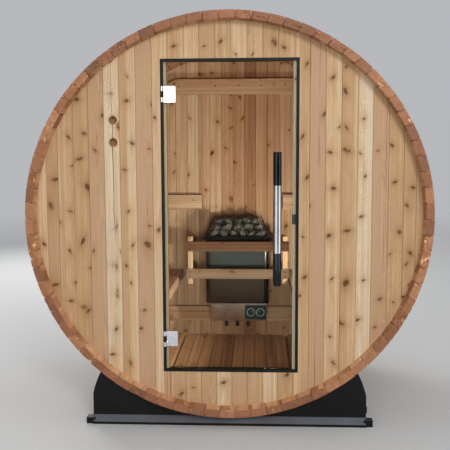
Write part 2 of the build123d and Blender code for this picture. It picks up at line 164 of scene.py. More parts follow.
def add(tree, kind, inputs=None, output=0, **settings):
    # adds a node, sets its options and feeds its inputs by name or number
    node = tree.nodes.new(kind)
    for setting, value in settings.items():
        setattr(node, setting, value)
    for key, value in (inputs or {}).items():
        feed(node.inputs[key], value)
    return Wire(node.outputs[output])


def treeOf(*values):
    return next(value.tree for value in values if isinstance(value, Wire))


def calc(operation, *values):
    return add(treeOf(*values), "ShaderNodeMath", dict(enumerate(values)), operation=operation)


def calcVector(operation, *values):
    inputs, output = dict(enumerate(values)), "Value" if operation == "LENGTH" else 0
    return add(treeOf(*values), "ShaderNodeVectorMath", inputs, output, operation=operation)


def combine(*parts):
    return add(treeOf(*parts), "ShaderNodeCombineXYZ", dict(enumerate(parts)))


def separate(vector):
    first = add(vector.tree, "ShaderNodeSeparateXYZ", {0: vector})
    return [Wire(socket) for socket in first.socket.node.outputs]


def fades(value, low, high, start=0.0, end=1.0):
    return add(value.tree, "ShaderNodeMapRange", dict(enumerate((value, low, high, start, end))),
               interpolation_type="SMOOTHSTEP")


def grains(vector, scale, detail=2.0, roughness=0.5):
    return add(vector.tree, "ShaderNodeTexNoise",
               {"Vector": vector, "Scale": scale, "Detail": detail, "Roughness": roughness})


def paint(red, green, blue):
    # a colour as a paint chart gives it, 0 to 255, in the linear values of a shader
    def linear(part):
        share = part / 255
        return share / 12.92 if share <= 0.04045 else ((share + 0.055) / 1.055) ** 2.4

    return linear(red), linear(green), linear(blue), 1.0


def darkened(colour, *shares):
    return (*(part * share for part, share in zip(colour, shares)), 1.0)


def colours(factor, stops):
    # stops are (place, red, green, blue)
    ramp = add(factor.tree, "ShaderNodeValToRGB", {0: factor})
    band = ramp.socket.node.color_ramp
    while len(band.elements) < len(stops):
        band.elements.new(0.5)
    for element, (place, *colour) in zip(band.elements, stops):
        element.position, element.color = place, paint(*colour)
    return ramp


def mixColours(share, first, second, way="MIX"):
    return add(treeOf(share, first, second), "ShaderNodeMix", {0: share, 6: first, 7: second}, 2,
               data_type="RGBA", blend_type=way)


def named(tree, name, output="Vector"):
    return add(tree, "ShaderNodeAttribute", output=output, attribute_name=name)


def bump(height, depth, strength=0.5):
    return add(height.tree, "ShaderNodeBump", {"Strength": strength, "Distance": depth, "Height": height})


def startMaterial(name):
    # an empty material, its tree and the place on the object
    material = bpy.data.materials.new(name)
    material.use_nodes = True
    material.node_tree.nodes.clear()
    return material, material.node_tree, add(material.node_tree, "ShaderNodeTexCoord", output="Object")


def surfaceOf(material, colour, roughness, normal=None, metallic=0.0, shine=0.5):
    looks = {"Base Color": colour, "Roughness": roughness, "Metallic": metallic,
             "Specular IOR Level": shine}
    if normal:
        looks["Normal"] = normal
    return add(material.node_tree, "ShaderNodeBsdfPrincipled", looks)


def endMaterial(material, shader):
    feed(material.node_tree.nodes.new("ShaderNodeOutputMaterial").inputs[0], shader)
    return material


# Cedar, from sapwood cream at 0 to heartwood red at 1
cedar = {
    "dryBoards": [
        (0.00, 214, 195, 168), (0.20, 208, 178, 140), (0.42, 195, 160, 118), (0.60, 183, 148, 108),
        (0.78, 187, 151, 118), (0.92, 189, 149, 119), (1.00, 160, 114, 78)],
    # the room's boards: the cedar tones with painted shade and painted bounce light of the closed room,
    # darker and more orange than the boards outside
    "roomBoards": [
        (0.00, 208, 175, 140), (0.25, 192, 153, 116), (0.50, 176, 134, 98), (0.75, 160, 116, 82),
        (1.00, 136, 93, 64)],
    "floorBoards": [
        (0.00, 238, 190, 142), (0.40, 218, 167, 118), (0.75, 194, 144, 100), (1.00, 162, 116, 78)],
    "staveFaces": [
        (0.00, 205, 160, 120), (0.35, 190, 141, 102), (0.70, 170, 118, 82), (1.00, 146, 96, 64)],
    "endGrain": [
        (0.00, 220, 184, 144), (0.16, 178, 130, 92), (0.36, 141, 97, 65), (0.56, 129, 81, 53),
        (0.76, 108, 70, 46), (1.00, 86, 57, 40)],
    # for each layer of grain: its scale across and along the board, detail, roughness and share of the tone
    "layers": {"broad": (34.0, 0.55, 3.0, 0.6, 0.62), "bands": (78.0, 0.45, 2.0, 0.5, 0.80),
               "streaks": (190.0, 1.6, 3.0, 0.6, 0.62), "blotches": (9.0, 3.5, 3.0, 0.5, 0.26)},
    "boardShift": (9.0, 31.0, 7.0),
    "fibres": (700.0, 14.0),
    "waver": (170.0, 150.0, 3.0, 0.65),
    "pithDrift": (3.0, 1.1),
    "pithAside": 0.16,
    "pithDeeper": 0.09,
    "pithBelow": 0.012,
    "toneBlur": 0.0012,
    "lateWoodSharpness": 2.6,
    "ringSpacing": 0.0032,
    "ringDepth": 0.20,
    "wideRings": 0.20,
    "pithWander": 0.075,
    "tornPaleness": 0.5,
    "roughness": 0.58,
    "shine": 0.32,
    "reliefDepth": 0.0005,
    "knotRim": paint(112, 66, 26),
    "knotStain": paint(162, 115, 66),
    "knotCore": [(0.3, 58, 29, 8), (0.55, 108, 63, 26), (0.75, 76, 41, 14)],
    "knotMottle": 420.0,
    "knotLean": 2.4,
    "knotBend": 2.6,
    "endRings": 420.0,
    "endShares": {"rings": 0.20, "board": 0.52, "blotches": 0.46},
}


def knotMarks(across, along, knot, waver):
    # how far a point lies from a knot, in knot radii, near it and along the grain,
    # how much the knot bends the grain there, and a chance number for its strength
    knotAcross, knotAlong, radius = separate(knot)
    radius = calc("MAXIMUM", radius, 0.0001)
    lean, stretch, fade = separate(add(knot.tree, "ShaderNodeTexWhiteNoise", {"Vector": knot}, "Color",
                                       noise_dimensions="2D"))
    bend = radius * cedar["knotBend"]
    rough = (waver - 0.5) * bend
    ahead, aside = along - knotAlong + rough, across - knotAcross + rough
    turn = (lean - 0.5) * cedar["knotLean"]
    cosine, sine = calc("COSINE", turn), calc("SINE", turn)
    lengthwise, crosswise = aside * cosine + ahead * sine, ahead * cosine - aside * sine

    def reach(one, other):
        return calc("SQRT", one * one + other * other) / radius

    near = reach(lengthwise * 0.66, crosswise * (stretch + 0.9))
    far = reach(aside, ahead * 0.30)
    return near, far, calc("EXPONENT", far * far * -0.16) * bend, fade


def makeCedar(name, stops):
    material, tree, _ = startMaterial(name)
    grain = named(tree, "grainCoord")
    tone, toneBeyond, toneEdge = separate(named(tree, "boardTone"))
    across, along, depth = separate(grain)
    luck = separate(add(tree, "ShaderNodeTexWhiteNoise", {"W": named(tree, "boardSeed", "Fac")}, "Color",
                        noise_dimensions="1D"))
    shift = combine(*(part * reach for part, reach in zip(luck, cedar["boardShift"])))
    board = calcVector("ADD", grain, shift)

    def stretched(crosswise, lengthwise, detail=2.0, roughness=0.5):
        squeezed = calcVector("MULTIPLY", board, (crosswise, lengthwise, crosswise))
        return grains(squeezed, 1.0, detail, roughness)

    layers = {layer: stretched(*numbers[:4]) for layer, numbers in cedar["layers"].items()}
    fibres = stretched(*cedar["fibres"])

    # rings round a pith that wanders along the board and gives way at the knots
    waver = stretched(*cedar["waver"])
    knots = [knotMarks(across, along, named(tree, knot), waver) for knot in ("knotA", "knotB")]
    drift = (stretched(*cedar["pithDrift"]) - 0.5) * cedar["pithWander"]
    fromPith = across - (luck[0] - 0.5) * cedar["pithAside"] + drift
    below = depth + (luck[1] * cedar["pithDeeper"] + cedar["pithBelow"]) + drift * 0.6
    ringRadius = calc("SQRT", fromPith * fromPith + below * below) + (knots[0][2] + knots[1][2])
    turns = layers["broad"] * 1.6 + ringRadius / cedar["ringSpacing"]
    lateWood = calc("POWER", calc("FRACT", turns), cedar["lateWoodSharpness"])

    blur = cedar["toneBlur"]
    beyond = fades(across + drift * 0.08, toneEdge - blur, toneEdge + blur)
    base = tone + beyond * (toneBeyond - tone)
    for layer, numbers in cedar["layers"].items():
        base = base + (layers[layer] - 0.5) * numbers[4]
    base = base + calc("PINGPONG", calc("FRACT", turns * 0.17), 0.5) * cedar["wideRings"]
    shade = (1.0 - lateWood * cedar["ringDepth"]) * fades(fibres, 0.25, 0.6, 0.93, 1.03)
    colour = mixColours(1.0, colours(base, stops), combine(shade, shade, shade), "MULTIPLY")

    # a knot has a mottled heart, a darker rim and a brown stain that runs along the grain
    mottle = colours(grains(board, cedar["knotMottle"]), cedar["knotCore"])
    for near, far, _, fade in knots:
        strength = fade * 0.3 + 0.75
        colour = mixColours(calc("EXPONENT", far * -0.85) * (strength * 0.75), colour, cedar["knotStain"])
        colour = mixColours(calc("EXPONENT", near * -1.05) * strength, colour, cedar["knotRim"])
        colour = mixColours(fades(near, 0.95, 0.60) * strength, colour, mottle)

    # sawn ends show the rings themselves
    shares = cedar["endShares"]
    ends = calc("FRACT", ringRadius * cedar["endRings"]) * shares["rings"] + luck[2] * shares["board"]
    ends = ends + grains(board, 60.0, 4.0, 0.65) * shares["blotches"]
    ends = ends - named(tree, "tornFibre", "Fac") * cedar["tornPaleness"]
    endShare = named(tree, "endFace", "Fac")
    colour = mixColours(endShare, colour, colours(ends, cedar["endGrain"]))
    height = lateWood * 0.5 + fibres * 0.5 + endShare * grains(board, 150.0, 3.0)
    return endMaterial(material, surfaceOf(material, colour, layers["streaks"] * 0.16 + cedar["roughness"],
                                           bump(height, cedar["reliefDepth"]), shine=cedar["shine"]))


wallCedar = makeCedar("cedar_wall", cedar["dryBoards"])
roomCedar = makeCedar("cedar_room", cedar["roomBoards"])
floorCedar = makeCedar("cedar_floor", cedar["floorBoards"])
staveCedar = makeCedar("cedar_staves", cedar["staveFaces"])


# Painted, moulded and metal finishes
# a painted reflection of the sky on the cradle's upward skirt, in bluish grey
cradleSkyReflection = {
    "colour": paint(97, 100, 107),
    "top": 0.045,
    "halfWidth": 0.638,
}


# dark and light are the colours it is mottled with; grit is the scale of its fine bumps
def makeMoulded(name, dark, light, rough, grit, depth, scuffs=0.0, shine=0.3, paintSkyReflection=False):
    material, tree, spot = startMaterial(name)
    cloud = grains(spot, 7.0, 5.0, 0.6)
    colour = mixColours(fades(cloud, 0.35, 0.75), paint(*dark), paint(*light))
    if scuffs:
        rubbed = fades(grains(spot, 38.0, 6.0, 0.75), 0.62, 0.75)
        colour = mixColours(rubbed * scuffs, colour, paint(120, 118, 112))
    if paintSkyReflection:
        # painted reflection of the sky: bluish grey where a sloping skirt faces up near the ground
        facing = separate(add(tree, "ShaderNodeNewGeometry", output="Normal"))[2]
        aside, _, height = separate(spot)
        top, halfWidth = cradleSkyReflection["top"], cradleSkyReflection["halfWidth"]
        upward = fades(facing, 0.35, 0.65) * fades(height, top, top - 0.01)
        upward = upward * fades(calc("ABSOLUTE", aside), halfWidth, halfWidth - 0.004)
        colour = mixColours(upward * fades(cloud, 0.2, 0.8, 0.75, 1.0), colour, cradleSkyReflection["colour"])
    return endMaterial(material, surfaceOf(material, colour, cloud * 0.2 + (rough - 0.1),
                                           bump(grains(spot, grit, 3.0), depth), shine=shine))


def makeBrushedMetal(name, colour, rough, direction, scratchDepth=0.00006, paintedFloorReflection=None, unevenness=0.16):
    material, tree, spot = startMaterial(name)
    lines = grains(calcVector("MULTIPLY", spot, direction), 1.0, 4.0, 0.6)
    smears = grains(spot, 9.0, 4.0, 0.6)
    tint = mixColours(fades(smears, 0.3, 0.7), darkened(colour, 0.78, 0.78, 0.80), colour)
    # painted reflection of the floor: the steel turns brown below a given height
    if paintedFloorReflection:
        lower, height, blur = paintedFloorReflection
        tint = mixColours(fades(separate(spot)[2], height + blur, height - blur), tint, lower)
    marks = lines * unevenness + (rough - unevenness / 2) + (smears - 0.5) * (unevenness * 0.9)
    return endMaterial(material, surfaceOf(material, tint, marks, bump(lines, scratchDepth, 0.4), 1.0))


# the cradle carries a painted sky reflection on its upward skirt
cradleBlack = makeMoulded("cradle_black", (8, 8, 7), (15, 15, 15), 0.48, 900.0, 0.0002, shine=0.22,
                          paintSkyReflection=True)
frameBlack = makeMoulded("frame_black", (18, 20, 19), (28, 31, 30), 0.5, 1400.0, 0.00005, shine=0.15)
catchGrey = makeMoulded("catch_grey", (52, 60, 60), (74, 82, 80), 0.45, 800.0, 0.0001)
heaterBlack = makeMoulded("heater_black", (26, 25, 24), (44, 40, 36), 0.5, 900.0, 0.0001, scuffs=0.2)
dialBlack = makeMoulded("dial_black", (36, 44, 44), (50, 58, 56), 0.4, 1200.0, 0.00004)
hingeChrome = makeBrushedMetal("hinge_chrome", paint(236, 237, 240), 0.16, (60.0, 60.0, 900.0), 0.00002)
# the heater's lower body takes a painted floor reflection in brown
heaterSteel = makeBrushedMetal("heater_steel", paint(98, 98, 90), 0.22, (900.0, 900.0, 12.0),
                               paintedFloorReflection=(paint(84, 62, 44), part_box("heater_body")[0].z + 0.14, 0.04))
# the tan tint of this steel is a painted reflection of the floor
boxSteel = makeBrushedMetal("box_steel", paint(250, 224, 198), 0.30, (12.0, 900.0, 900.0))
bandSteel = makeBrushedMetal("band_steel", paint(200, 200, 202), 0.34, (700.0, 700.0, 700.0))
handleDark = makeBrushedMetal("handle_dark", paint(56, 60, 66), 0.15, (900.0, 900.0, 20.0), 0.00002)
handleSteel = makeBrushedMetal("handle_steel", paint(196, 198, 200), 0.07, (900.0, 900.0, 20.0), 0.000004,
                               unevenness=0.05)


def makeGlass():
    # clear pane with a faint green tint: it lets light through and mirrors a little of the front
    material, tree, spot = startMaterial("door_glass")
    film = fades(grains(spot, 5.0, 5.0, 0.65), 0.45, 0.8)
    mirror = surfaceOf(material, paint(236, 240, 240), film * 0.05 + 0.015, metallic=1.0)
    clear = add(tree, "ShaderNodeBsdfTransparent", {"Color": paint(249, 252, 251)})
    share = add(tree, "ShaderNodeFresnel", {"IOR": 1.16})
    return endMaterial(material, add(tree, "ShaderNodeMixShader", {0: share, 1: clear, 2: mirror}))


def makeStone():
    material, tree, spot = startMaterial("stone")
    speckle = grains(spot, 260.0, 6.0, 0.7)
    dust = fades(grains(spot, 34.0, 4.0, 0.6), 0.45, 0.8)
    colour = colours(speckle, [(0.3, 52, 48, 42), (0.55, 96, 89, 78), (0.8, 146, 136, 120)])
    colour = mixColours(dust * 0.45, colour, paint(136, 127, 110))
    return endMaterial(material, surfaceOf(material, colour, 0.82, bump(speckle, 0.0012, 0.7)))


def makeWhiteMarks():
    material, tree, spot = startMaterial("dial_marks")
    worn = fades(grains(spot, 700.0, 3.0), 0.3, 0.7)
    colour = mixColours(worn, paint(196, 200, 196), paint(226, 228, 224))
    return endMaterial(material, surfaceOf(material, colour, 0.45))


paneGlass = makeGlass()
splitStone = makeStone()
print("finishes made")


# Putting finished pieces in the frame
def addPiece(name, mesh, material, replaced=(), body="sauna"):
    piece = stand(name, mesh)
    if material is not None:
        mesh.materials.clear()
        mesh.materials.append(material)
    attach(piece, body)
    if replaced:
        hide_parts(*replaced)


def wear(material, *nodeNames):
    # a carried-over solid keeps its shape and takes a better finish
    for nodeName in nodeNames:
        slots = cadNodes[nodeName].material_slots
        if not slots:
            cadNodes[nodeName].data.materials.append(material)
        for one in slots:
            one.material = material


def finishMesh(mesh, name):
    bmesh.ops.recalc_face_normals(mesh, faces=mesh.faces)
    data = bpy.data.meshes.new(name)
    mesh.to_mesh(data)
    mesh.free()
    return data


def circle(radius, sides):
    return [(radius * cos(2 * pi * i / sides), radius * sin(2 * pi * i / sides)) for i in range(sides)]


def skin(mesh, loops):
    # faces between loops of points, from each to the next, and one over either end
    rings = [[mesh.verts.new(point) for point in loop] for loop in loops]
    for near, far in zip(rings, rings[1:]):
        for i in range(len(near)):
            j = (i + 1) % len(near)
            mesh.faces.new((near[i], near[j], far[j], far[i]))
    mesh.faces.new(rings[-1])
    mesh.faces.new(rings[0][::-1])


def settle(holder):
    # the mesh that an object's modifiers make, without the object
    graph = bpy.context.evaluated_depsgraph_get()
    mesh = bpy.data.meshes.new_from_object(holder.evaluated_get(graph), preserve_all_data_layers=True,
                                           depsgraph=graph)
    bpy.data.objects.remove(holder)
    return mesh


# Boards: each is a profile drawn out along the grain, with the facts that the cedar finish reads
def startTimber():
    mesh = bmesh.new()
    facts = {"mesh": mesh, "grainCoord": mesh.verts.layers.float_vector.new("grainCoord")}
    for name in ("boardTone", "knotA", "knotB"):
        facts[name] = mesh.faces.layers.float_vector.new(name)
    for name in ("boardSeed", "endFace"):
        facts[name] = mesh.faces.layers.float.new(name)
    return facts


def endTimber(timber, name, material, replaced):
    addPiece(name, timberMesh(timber, name), material, replaced)


def timberMesh(timber, name):
    mesh = timber["mesh"]
    bmesh.ops.remove_doubles(mesh, verts=mesh.verts, dist=0.00001)
    bmesh.ops.dissolve_degenerate(mesh, edges=mesh.edges, dist=0.00001)
    return finishMesh(mesh, name)


def plankProfile(left, right, thickness, front=0.0015, back=0.0015, tongue=0.0, groove=0.0, rounded=False):
    # corners eased by front and back; a tongue on the right edge and a groove for one on the left
    def corner(x, y, inX, inY, ease):
        first, last = (x, y + inY * ease), (x + inX * ease, y)
        if not rounded:
            return [first, last]
        return [first, (x + inX * ease * 0.3, y + inY * ease * 0.3), last]

    low, high = thickness * 0.36, thickness * 0.64
    points = corner(left, 0, 1, 1, front) + corner(right, 0, -1, 1, front)[::-1]
    if tongue:
        points += [(right, low), (right + tongue, low), (right + tongue, high), (right, high)]
    points += corner(right, thickness, -1, -1, back) + corner(left, thickness, 1, -1, back)[::-1]
    if groove:
        over, under = high + grooveSlack, low - grooveSlack
        points += [(left, over), (left + groove, over), (left + groove, under), (left, under)]
    return points


def nearestKnots(knots, across, along):
    ranked = sorted(knots, key=lambda knot: hypot(knot[0] - across, (knot[1] - along) * 0.6) - knot[2])
    return [Vector(knot) for knot in (ranked + [(0, 0, 0)] * 2)[:2]]


def addBoard(timber, place, profile, ends, tone, seed, knots=(), rowStep=0.05):
    # place turns (across, along, depth) into a point; ends are two functions of (across, depth)
    mesh = timber["mesh"]
    reaches = [(ends[0](a, d), ends[1](a, d)) for a, d in profile]
    first, last = min(reach[0] for reach in reaches), max(reach[1] for reach in reaches)
    count = max(1, ceil((last - first) / rowStep))
    loops = []
    for i in range(count + 1):
        along = first + (last - first) * i / count
        loop = []
        for (a, d), (lowEnd, highEnd) in zip(profile, reaches):
            reached = min(max(along, lowEnd), highEnd)
            vertex = mesh.verts.new(place(a, reached, d))
            vertex[timber["grainCoord"]] = Vector((a, reached, d))
            loop.append(vertex)
        loops.append(loop)
    made = []
    for below, above in zip(loops, loops[1:]):
        for i in range(len(profile)):
            j = (i + 1) % len(profile)
            made.append((mesh.faces.new((below[i], below[j], above[j], above[i])), 0.0))
    made += [(mesh.faces.new(loops[0][::-1]), 1.0), (mesh.faces.new(loops[-1]), 1.0)]
    for face, isEnd in made:
        face[timber["boardSeed"]], face[timber["endFace"]] = seed, isEnd
        face[timber["boardTone"]] = Vector(tone)
        middle = sum((vertex[timber["grainCoord"]] for vertex in face.verts), Vector()) / len(face.verts)
        face[timber["knotA"]], face[timber["knotB"]] = nearestKnots(knots, middle.x, middle.y)


def scatterKnots(dice, halfWidth, low, high, spacing, biggest=0.011):
    knots = []
    along = low + dice.uniform(0.1, 0.8) * spacing
    while along < high:
        knots.append((dice.uniform(-0.8, 0.8) * halfWidth, along, dice.uniform(0.003, biggest)))
        along += dice.uniform(0.35, 1.8) * spacing
    return knots


def roundEnds(centre, radius):
    # the ends of an upright board that stops at the round edge of a wall
    def reach(across):
        return sqrt(max(radius * radius - (centre + across) ** 2, 0.0))

    return (lambda a, d: axisHeight - reach(a)), (lambda a, d: axisHeight + reach(a))


# Front wall: upright boards at the seams of the photograph, cut for the doorway and the air holes
frontWall = {
    "seamRow": 205,
    "seamColumns": [47.1, 58.8, 74.4, 89.8, 105.1, 120.9, 136.8, 153.2, 168.8, 184.5, 200.0, 215.7, 231.3,
                    247.0, 262.7, 278.3, 294.0, 309.3, 325.1, 340.8, 357.0, 371.9, 388.2, 403.4, 416.3],
    "tones": [0.22, 0.62, 0.45, 0.50, 0.66, 0.06, 0.50, 0.76, 0.26, 0.42, 0.30, 0.62, 0.42, 0.22, 0.46,
              0.45, 0.44, 0.40, 0.70, 0.26, 0.40, 0.06, 0.66, 0.46, 0.52, 0.44],
    "tonesUnderDoor": {8: 0.82, 9: 0.50, 10: 0.44, 11: 0.56, 12: 0.12, 13: 0.60, 14: 0.42, 15: 0.26,
                       16: 0.44},
    "splits": {5: (113.4, 0.04, 0.12), 6: (127.8, 0.52, 0.18), 11: (205.5, 0.70, 0.56),
               22: (379.5, 0.62, 0.74)},
    "crackedBoard": 5,
    "crackPixels": [
        (110.8, 40), (110.6, 78), (110.6, 94), (111.8, 112), (112.6, 130), (112.2, 147), (113.2, 161),
        (113.8, 186), (113.9, 210), (114.8, 225), (115.3, 240), (116.0, 252), (113.5, 300),
        (110.8, 350)],
    "crackWidths": [
        (40, 0.0010), (112, 0.0015), (150, 0.0034), (215, 0.0030), (252, 0.0004), (300, 0.00004)],
    "groove": 0.0022,
    "gap": 0.0006,
    "cutGap": 0.00002,
    "boardSeed": 0.5,
    "seedUnderDoor": 40,
    "knotSize": {"small": 0.0060, "middle": 0.0094, "large": 0.0145},
}
frontKnotPixels = {
    "small": [
        (127, 76.3), (106.6, 93.7), (151.5, 104.9), (154.8, 117.7), (149.5, 148.8), (72.6, 165.8),
        (93.9, 250.8), (90.9, 268.2), (118.8, 251.4), (126.4, 265.7), (128.6, 211.5), (149.4, 226.1),
        (76, 282.9), (115.3, 291.2), (131.1, 282.9), (144.6, 310.3), (141.3, 328.2), (346, 67.3),
        (364.2, 118.7), (339.4, 127.1), (377.9, 150.8), (360.3, 153.4), (365.4, 176.3), (309.5, 206.5),
        (302.9, 237), (390, 254.2), (363.2, 280.4), (299.8, 295.7), (393.2, 302.4), (408.5, 284.8),
        (374.7, 327.3), (329.7, 336.5), (252.5, 54.2), (204, 46), (193.4, 387.6), (235.6, 54.3)],
    "middle": [
        (115.7, 124.3), (117.2, 127.6), (76.5, 99.3), (68.4, 137.2), (84, 133.5), (103.1, 115.1),
        (95.2, 150.3), (70.7, 211.5), (126.5, 100.8), (132.1, 143.2), (124.5, 169.7), (59.4, 221.9),
        (70, 251.3), (44.1, 244), (111.7, 226.8), (111.7, 266.3), (132.8, 245.3), (158.9, 230),
        (115.1, 295.9), (71.2, 300.8), (88.4, 311), (115.8, 328.8), (113, 354.3), (130.6, 362.6),
        (307.2, 63.6), (333.1, 77.3), (324.3, 114.1), (346.5, 127.9), (302.7, 136.5), (330.2, 152.3),
        (391.9, 145.2), (307.2, 177.3), (333.3, 188.3), (395, 182.1), (412.9, 187.6), (406.7, 205.4),
        (361.3, 216.6), (328.8, 235.7), (399, 231.9), (410.4, 253.3), (406.2, 264.4), (304.6, 277.2),
        (331.7, 279.1), (379.8, 299.2), (403.4, 296.9), (357.5, 319.9), (333.3, 363), (173.7, 46.2),
        (220.5, 41.5), (284, 47.5), (181.4, 393.7), (223.5, 382.5), (287, 374.8)],
    "large": [
        (79.6, 159), (55.6, 179.4), (87.8, 187), (50.8, 205.6), (83, 241.2), (147.7, 244.6),
        (55.4, 284.8), (84.6, 307.5), (345.5, 91.1), (346.3, 150.3), (346.7, 231), (346, 282.9),
        (340.3, 323.1), (274.3, 42.5)],
}


def between(steps, value):
    # the height of a line through some steps (place, height)
    for (start, first), (end, last) in zip(steps, steps[1:]):
        if value <= end:
            share = min(max((value - start) / (end - start), 0.0), 1.0)
            return first + (last - first) * share
    return steps[-1][1]


def crackEdges():
    # the split in the cracked board: where it runs and half its width, by height
    places = [pointAtDepth(column, row, wallFront) for column, row in frontWall["crackPixels"]][::-1]
    line = [(z, x) for x, z in places]
    column = frontWall["crackPixels"][0][0]
    widths = [(pointAtDepth(column, row, wallFront)[1], width)
              for row, width in frontWall["crackWidths"]][::-1]
    return places[0][0], (lambda z: between(line, z)), (lambda z: between(widths, z) / 2)


def makeFrontWall():
    row, groove, seed = frontWall["seamRow"], frontWall["groove"], frontWall["boardSeed"]
    seams = [pointAtDepth(column, row, wallFront)[0] for column in frontWall["seamColumns"]]
    edges = [-wallRadius] + seams + [wallRadius]
    allKnots = [(*pointAtDepth(*pixel, wallFront), frontWall["knotSize"][size])
                for size, pixels in frontKnotPixels.items() for pixel in pixels]
    timber, ventTimber = startTimber(), startTimber()
    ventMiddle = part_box("vent_slide")[0].lerp(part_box("vent_slide")[1], 0.5).x

    def piece(target, left, right, ends, tone, seed, joints=(True, True), bend=lambda a, z: 0.0):
        # joints tell whether the left and the right edge meet another board
        gaps = [frontWall["gap"] / 2 if joint else frontWall["cutGap"] for joint in joints]
        profile = plankProfile(
            left - centre + gaps[0], right - centre - gaps[1], wallThickness, 0.00001, 0.0015,
            wallTongue if joints[1] else 0, wallTongue + grooveDeeper if joints[0] else 0)
        if joints[0]:
            profile[:2] = [(profile[0][0], groove), (profile[1][0] + groove, 0)]
        if joints[1]:
            profile[2:4] = [(profile[2][0] - groove, 0), (profile[3][0], groove)]
        knots = [(x - centre, z, r) for x, z, r in allKnots if edges[i] < x < edges[i + 1]]

        def place(a, along, depth):
            return centre + a + bend(a, along), wallFront + depth, along

        addBoard(target, place, profile, ends, tone, seed, knots)

    for i, (left, right) in enumerate(zip(edges, edges[1:])):
        centre = (left + right) / 2
        low, high = roundEnds(centre, wallRadius - wallEdgeGap)
        first = frontWall["tones"][i]
        tone = (first, first, 1.0)
        if i in frontWall["splits"]:
            column, leftTone, rightTone = frontWall["splits"][i]
            tone = (leftTone, rightTone, pointAtDepth(column, row, wallFront)[0] - centre)
        if i == frontWall["crackedBoard"]:
            middle, crack, halfWidth = crackEdges()
            for far, side in ((left, -1), (right, 1)):
                def bend(a, z, far=far, side=side):
                    return (centre + a - far) / (middle - far) * (crack(z) + side * halfWidth(z) - middle)

                piece(ventTimber, min(far, middle), max(far, middle), (low, high), tone, i + seed,
                      (side < 0, side > 0), bend)
        elif right <= doorLow.x or left >= doorHigh.x:
            target = ventTimber if left < ventMiddle < right else timber
            piece(target, left, right, (low, high), tone, i + seed)
        else:
            # beside the doorway a board is whole, over and under it the board is in two
            begins, stops = left >= doorLow.x, right <= doorHigh.x
            if not begins:
                piece(timber, left, doorLow.x, (low, high), tone, i + seed, (True, False))
            if not stops:
                piece(timber, doorHigh.x, right, (low, high), tone, i + seed, (False, True))
            left, right = max(left, doorLow.x), min(right, doorHigh.x)
            lower = frontWall["tonesUnderDoor"].get(i, first)
            piece(timber, left, right, ((lambda a, d: doorHigh.z), high), tone, i + seed, (begins, stops))
            piece(timber, left, right, (low, (lambda a, d: doorLow.z)), (lower, lower, 1.0),
                  i + seed + (frontWall["seedUnderDoor"] if begins and stops else 0), (begins, stops))
    endTimber(timber, "front_wall_boards", wallCedar,
              ("front_wall_left", "front_wall_right", "front_wall_over_door", "front_wall_under_door"))
    return timberMesh(ventTimber, "vent_board")


ventHoles = {
    "radius": 0.0195,
    "spacing": 0.100,
    "belowSlideTop": 0.045,
    "edge": 0.0012,
    "sides": 48,
    "past": 0.01,
}


def makeVentBoard(boardMesh):
    # the one board that holds the two air holes, bored right through
    low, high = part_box("vent_slide")
    x, top = (low.x + high.x) / 2, high.z - ventHoles["belowSlideTop"]
    radius, edge, past = ventHoles["radius"], ventHoles["edge"], ventHoles["past"]
    board = stand("vent_board", boardMesh)
    boardMesh.materials.append(wallCedar)
    cutter = bmesh.new()
    for z in (top, top - ventHoles["spacing"]):
        rings = ((wallFront - past, radius + edge + past), (wallFront + edge, radius),
                 (wallInside + past, radius))
        skin(cutter, [[(x + a, y, z + b) for a, b in circle(r, ventHoles["sides"])] for y, r in rings])
    tool = stand("boring", finishMesh(cutter, "boring"))
    cut = board.modifiers.new("bore", "BOOLEAN")
    cut.object, cut.operation, cut.solver = tool, "DIFFERENCE", "EXACT"
    bored = settle(board)
    bpy.data.objects.remove(tool)
    addPiece("vent_board", bored, wallCedar)


makeVentBoard(makeFrontWall())
print("front wall built")


# Rear wall: the same boards at an even pitch; the room side shows through the door
rearWall = {
    "seamColumn": 232.9,
    "seamRow": 120,
    "pitch": 0.0690,
    "groove": 0.0022,
    "gap": 0.0007,
    "knotPixels": [
        (189.5, 118, 0.009), (217.5, 121.8, 0.009), (199.5, 74, 0.013), (211.5, 73, 0.010),
        (230.5, 108, 0.010), (231.5, 128, 0.009), (225.8, 148, 0.010), (212, 153, 0.012),
        (175.5, 153.5, 0.006), (240, 97.3, 0.009), (242.8, 118, 0.011), (234, 162, 0.011),
        (267.8, 145, 0.011), (289, 130, 0.006), (231, 95, 0.006), (233.5, 63, 0.009),
        (281.5, 63, 0.007), (231.3, 199, 0.013), (244.7, 207, 0.008), (286, 226, 0.012),
        (206, 190, 0.009), (188.5, 175, 0.008), (254, 185, 0.008)],
    "tonesFromSeam": {-6: 0.15, -5: 0.10, -4: 0.04, -3: 0.36, -2: 0.30, -1: 0.52, 0: 0.58, 1: 0.9,
                      2: 0.56, 3: 0.50, 4: 0.36},
    "chanceTones": (0.15, 0.85),
    "knotSpacing": 0.30,
    "clearHalfWidth": 0.33,
    "clearAbove": 0.75,
    "boardSeed": 100.5,
    "seed": 11,
}


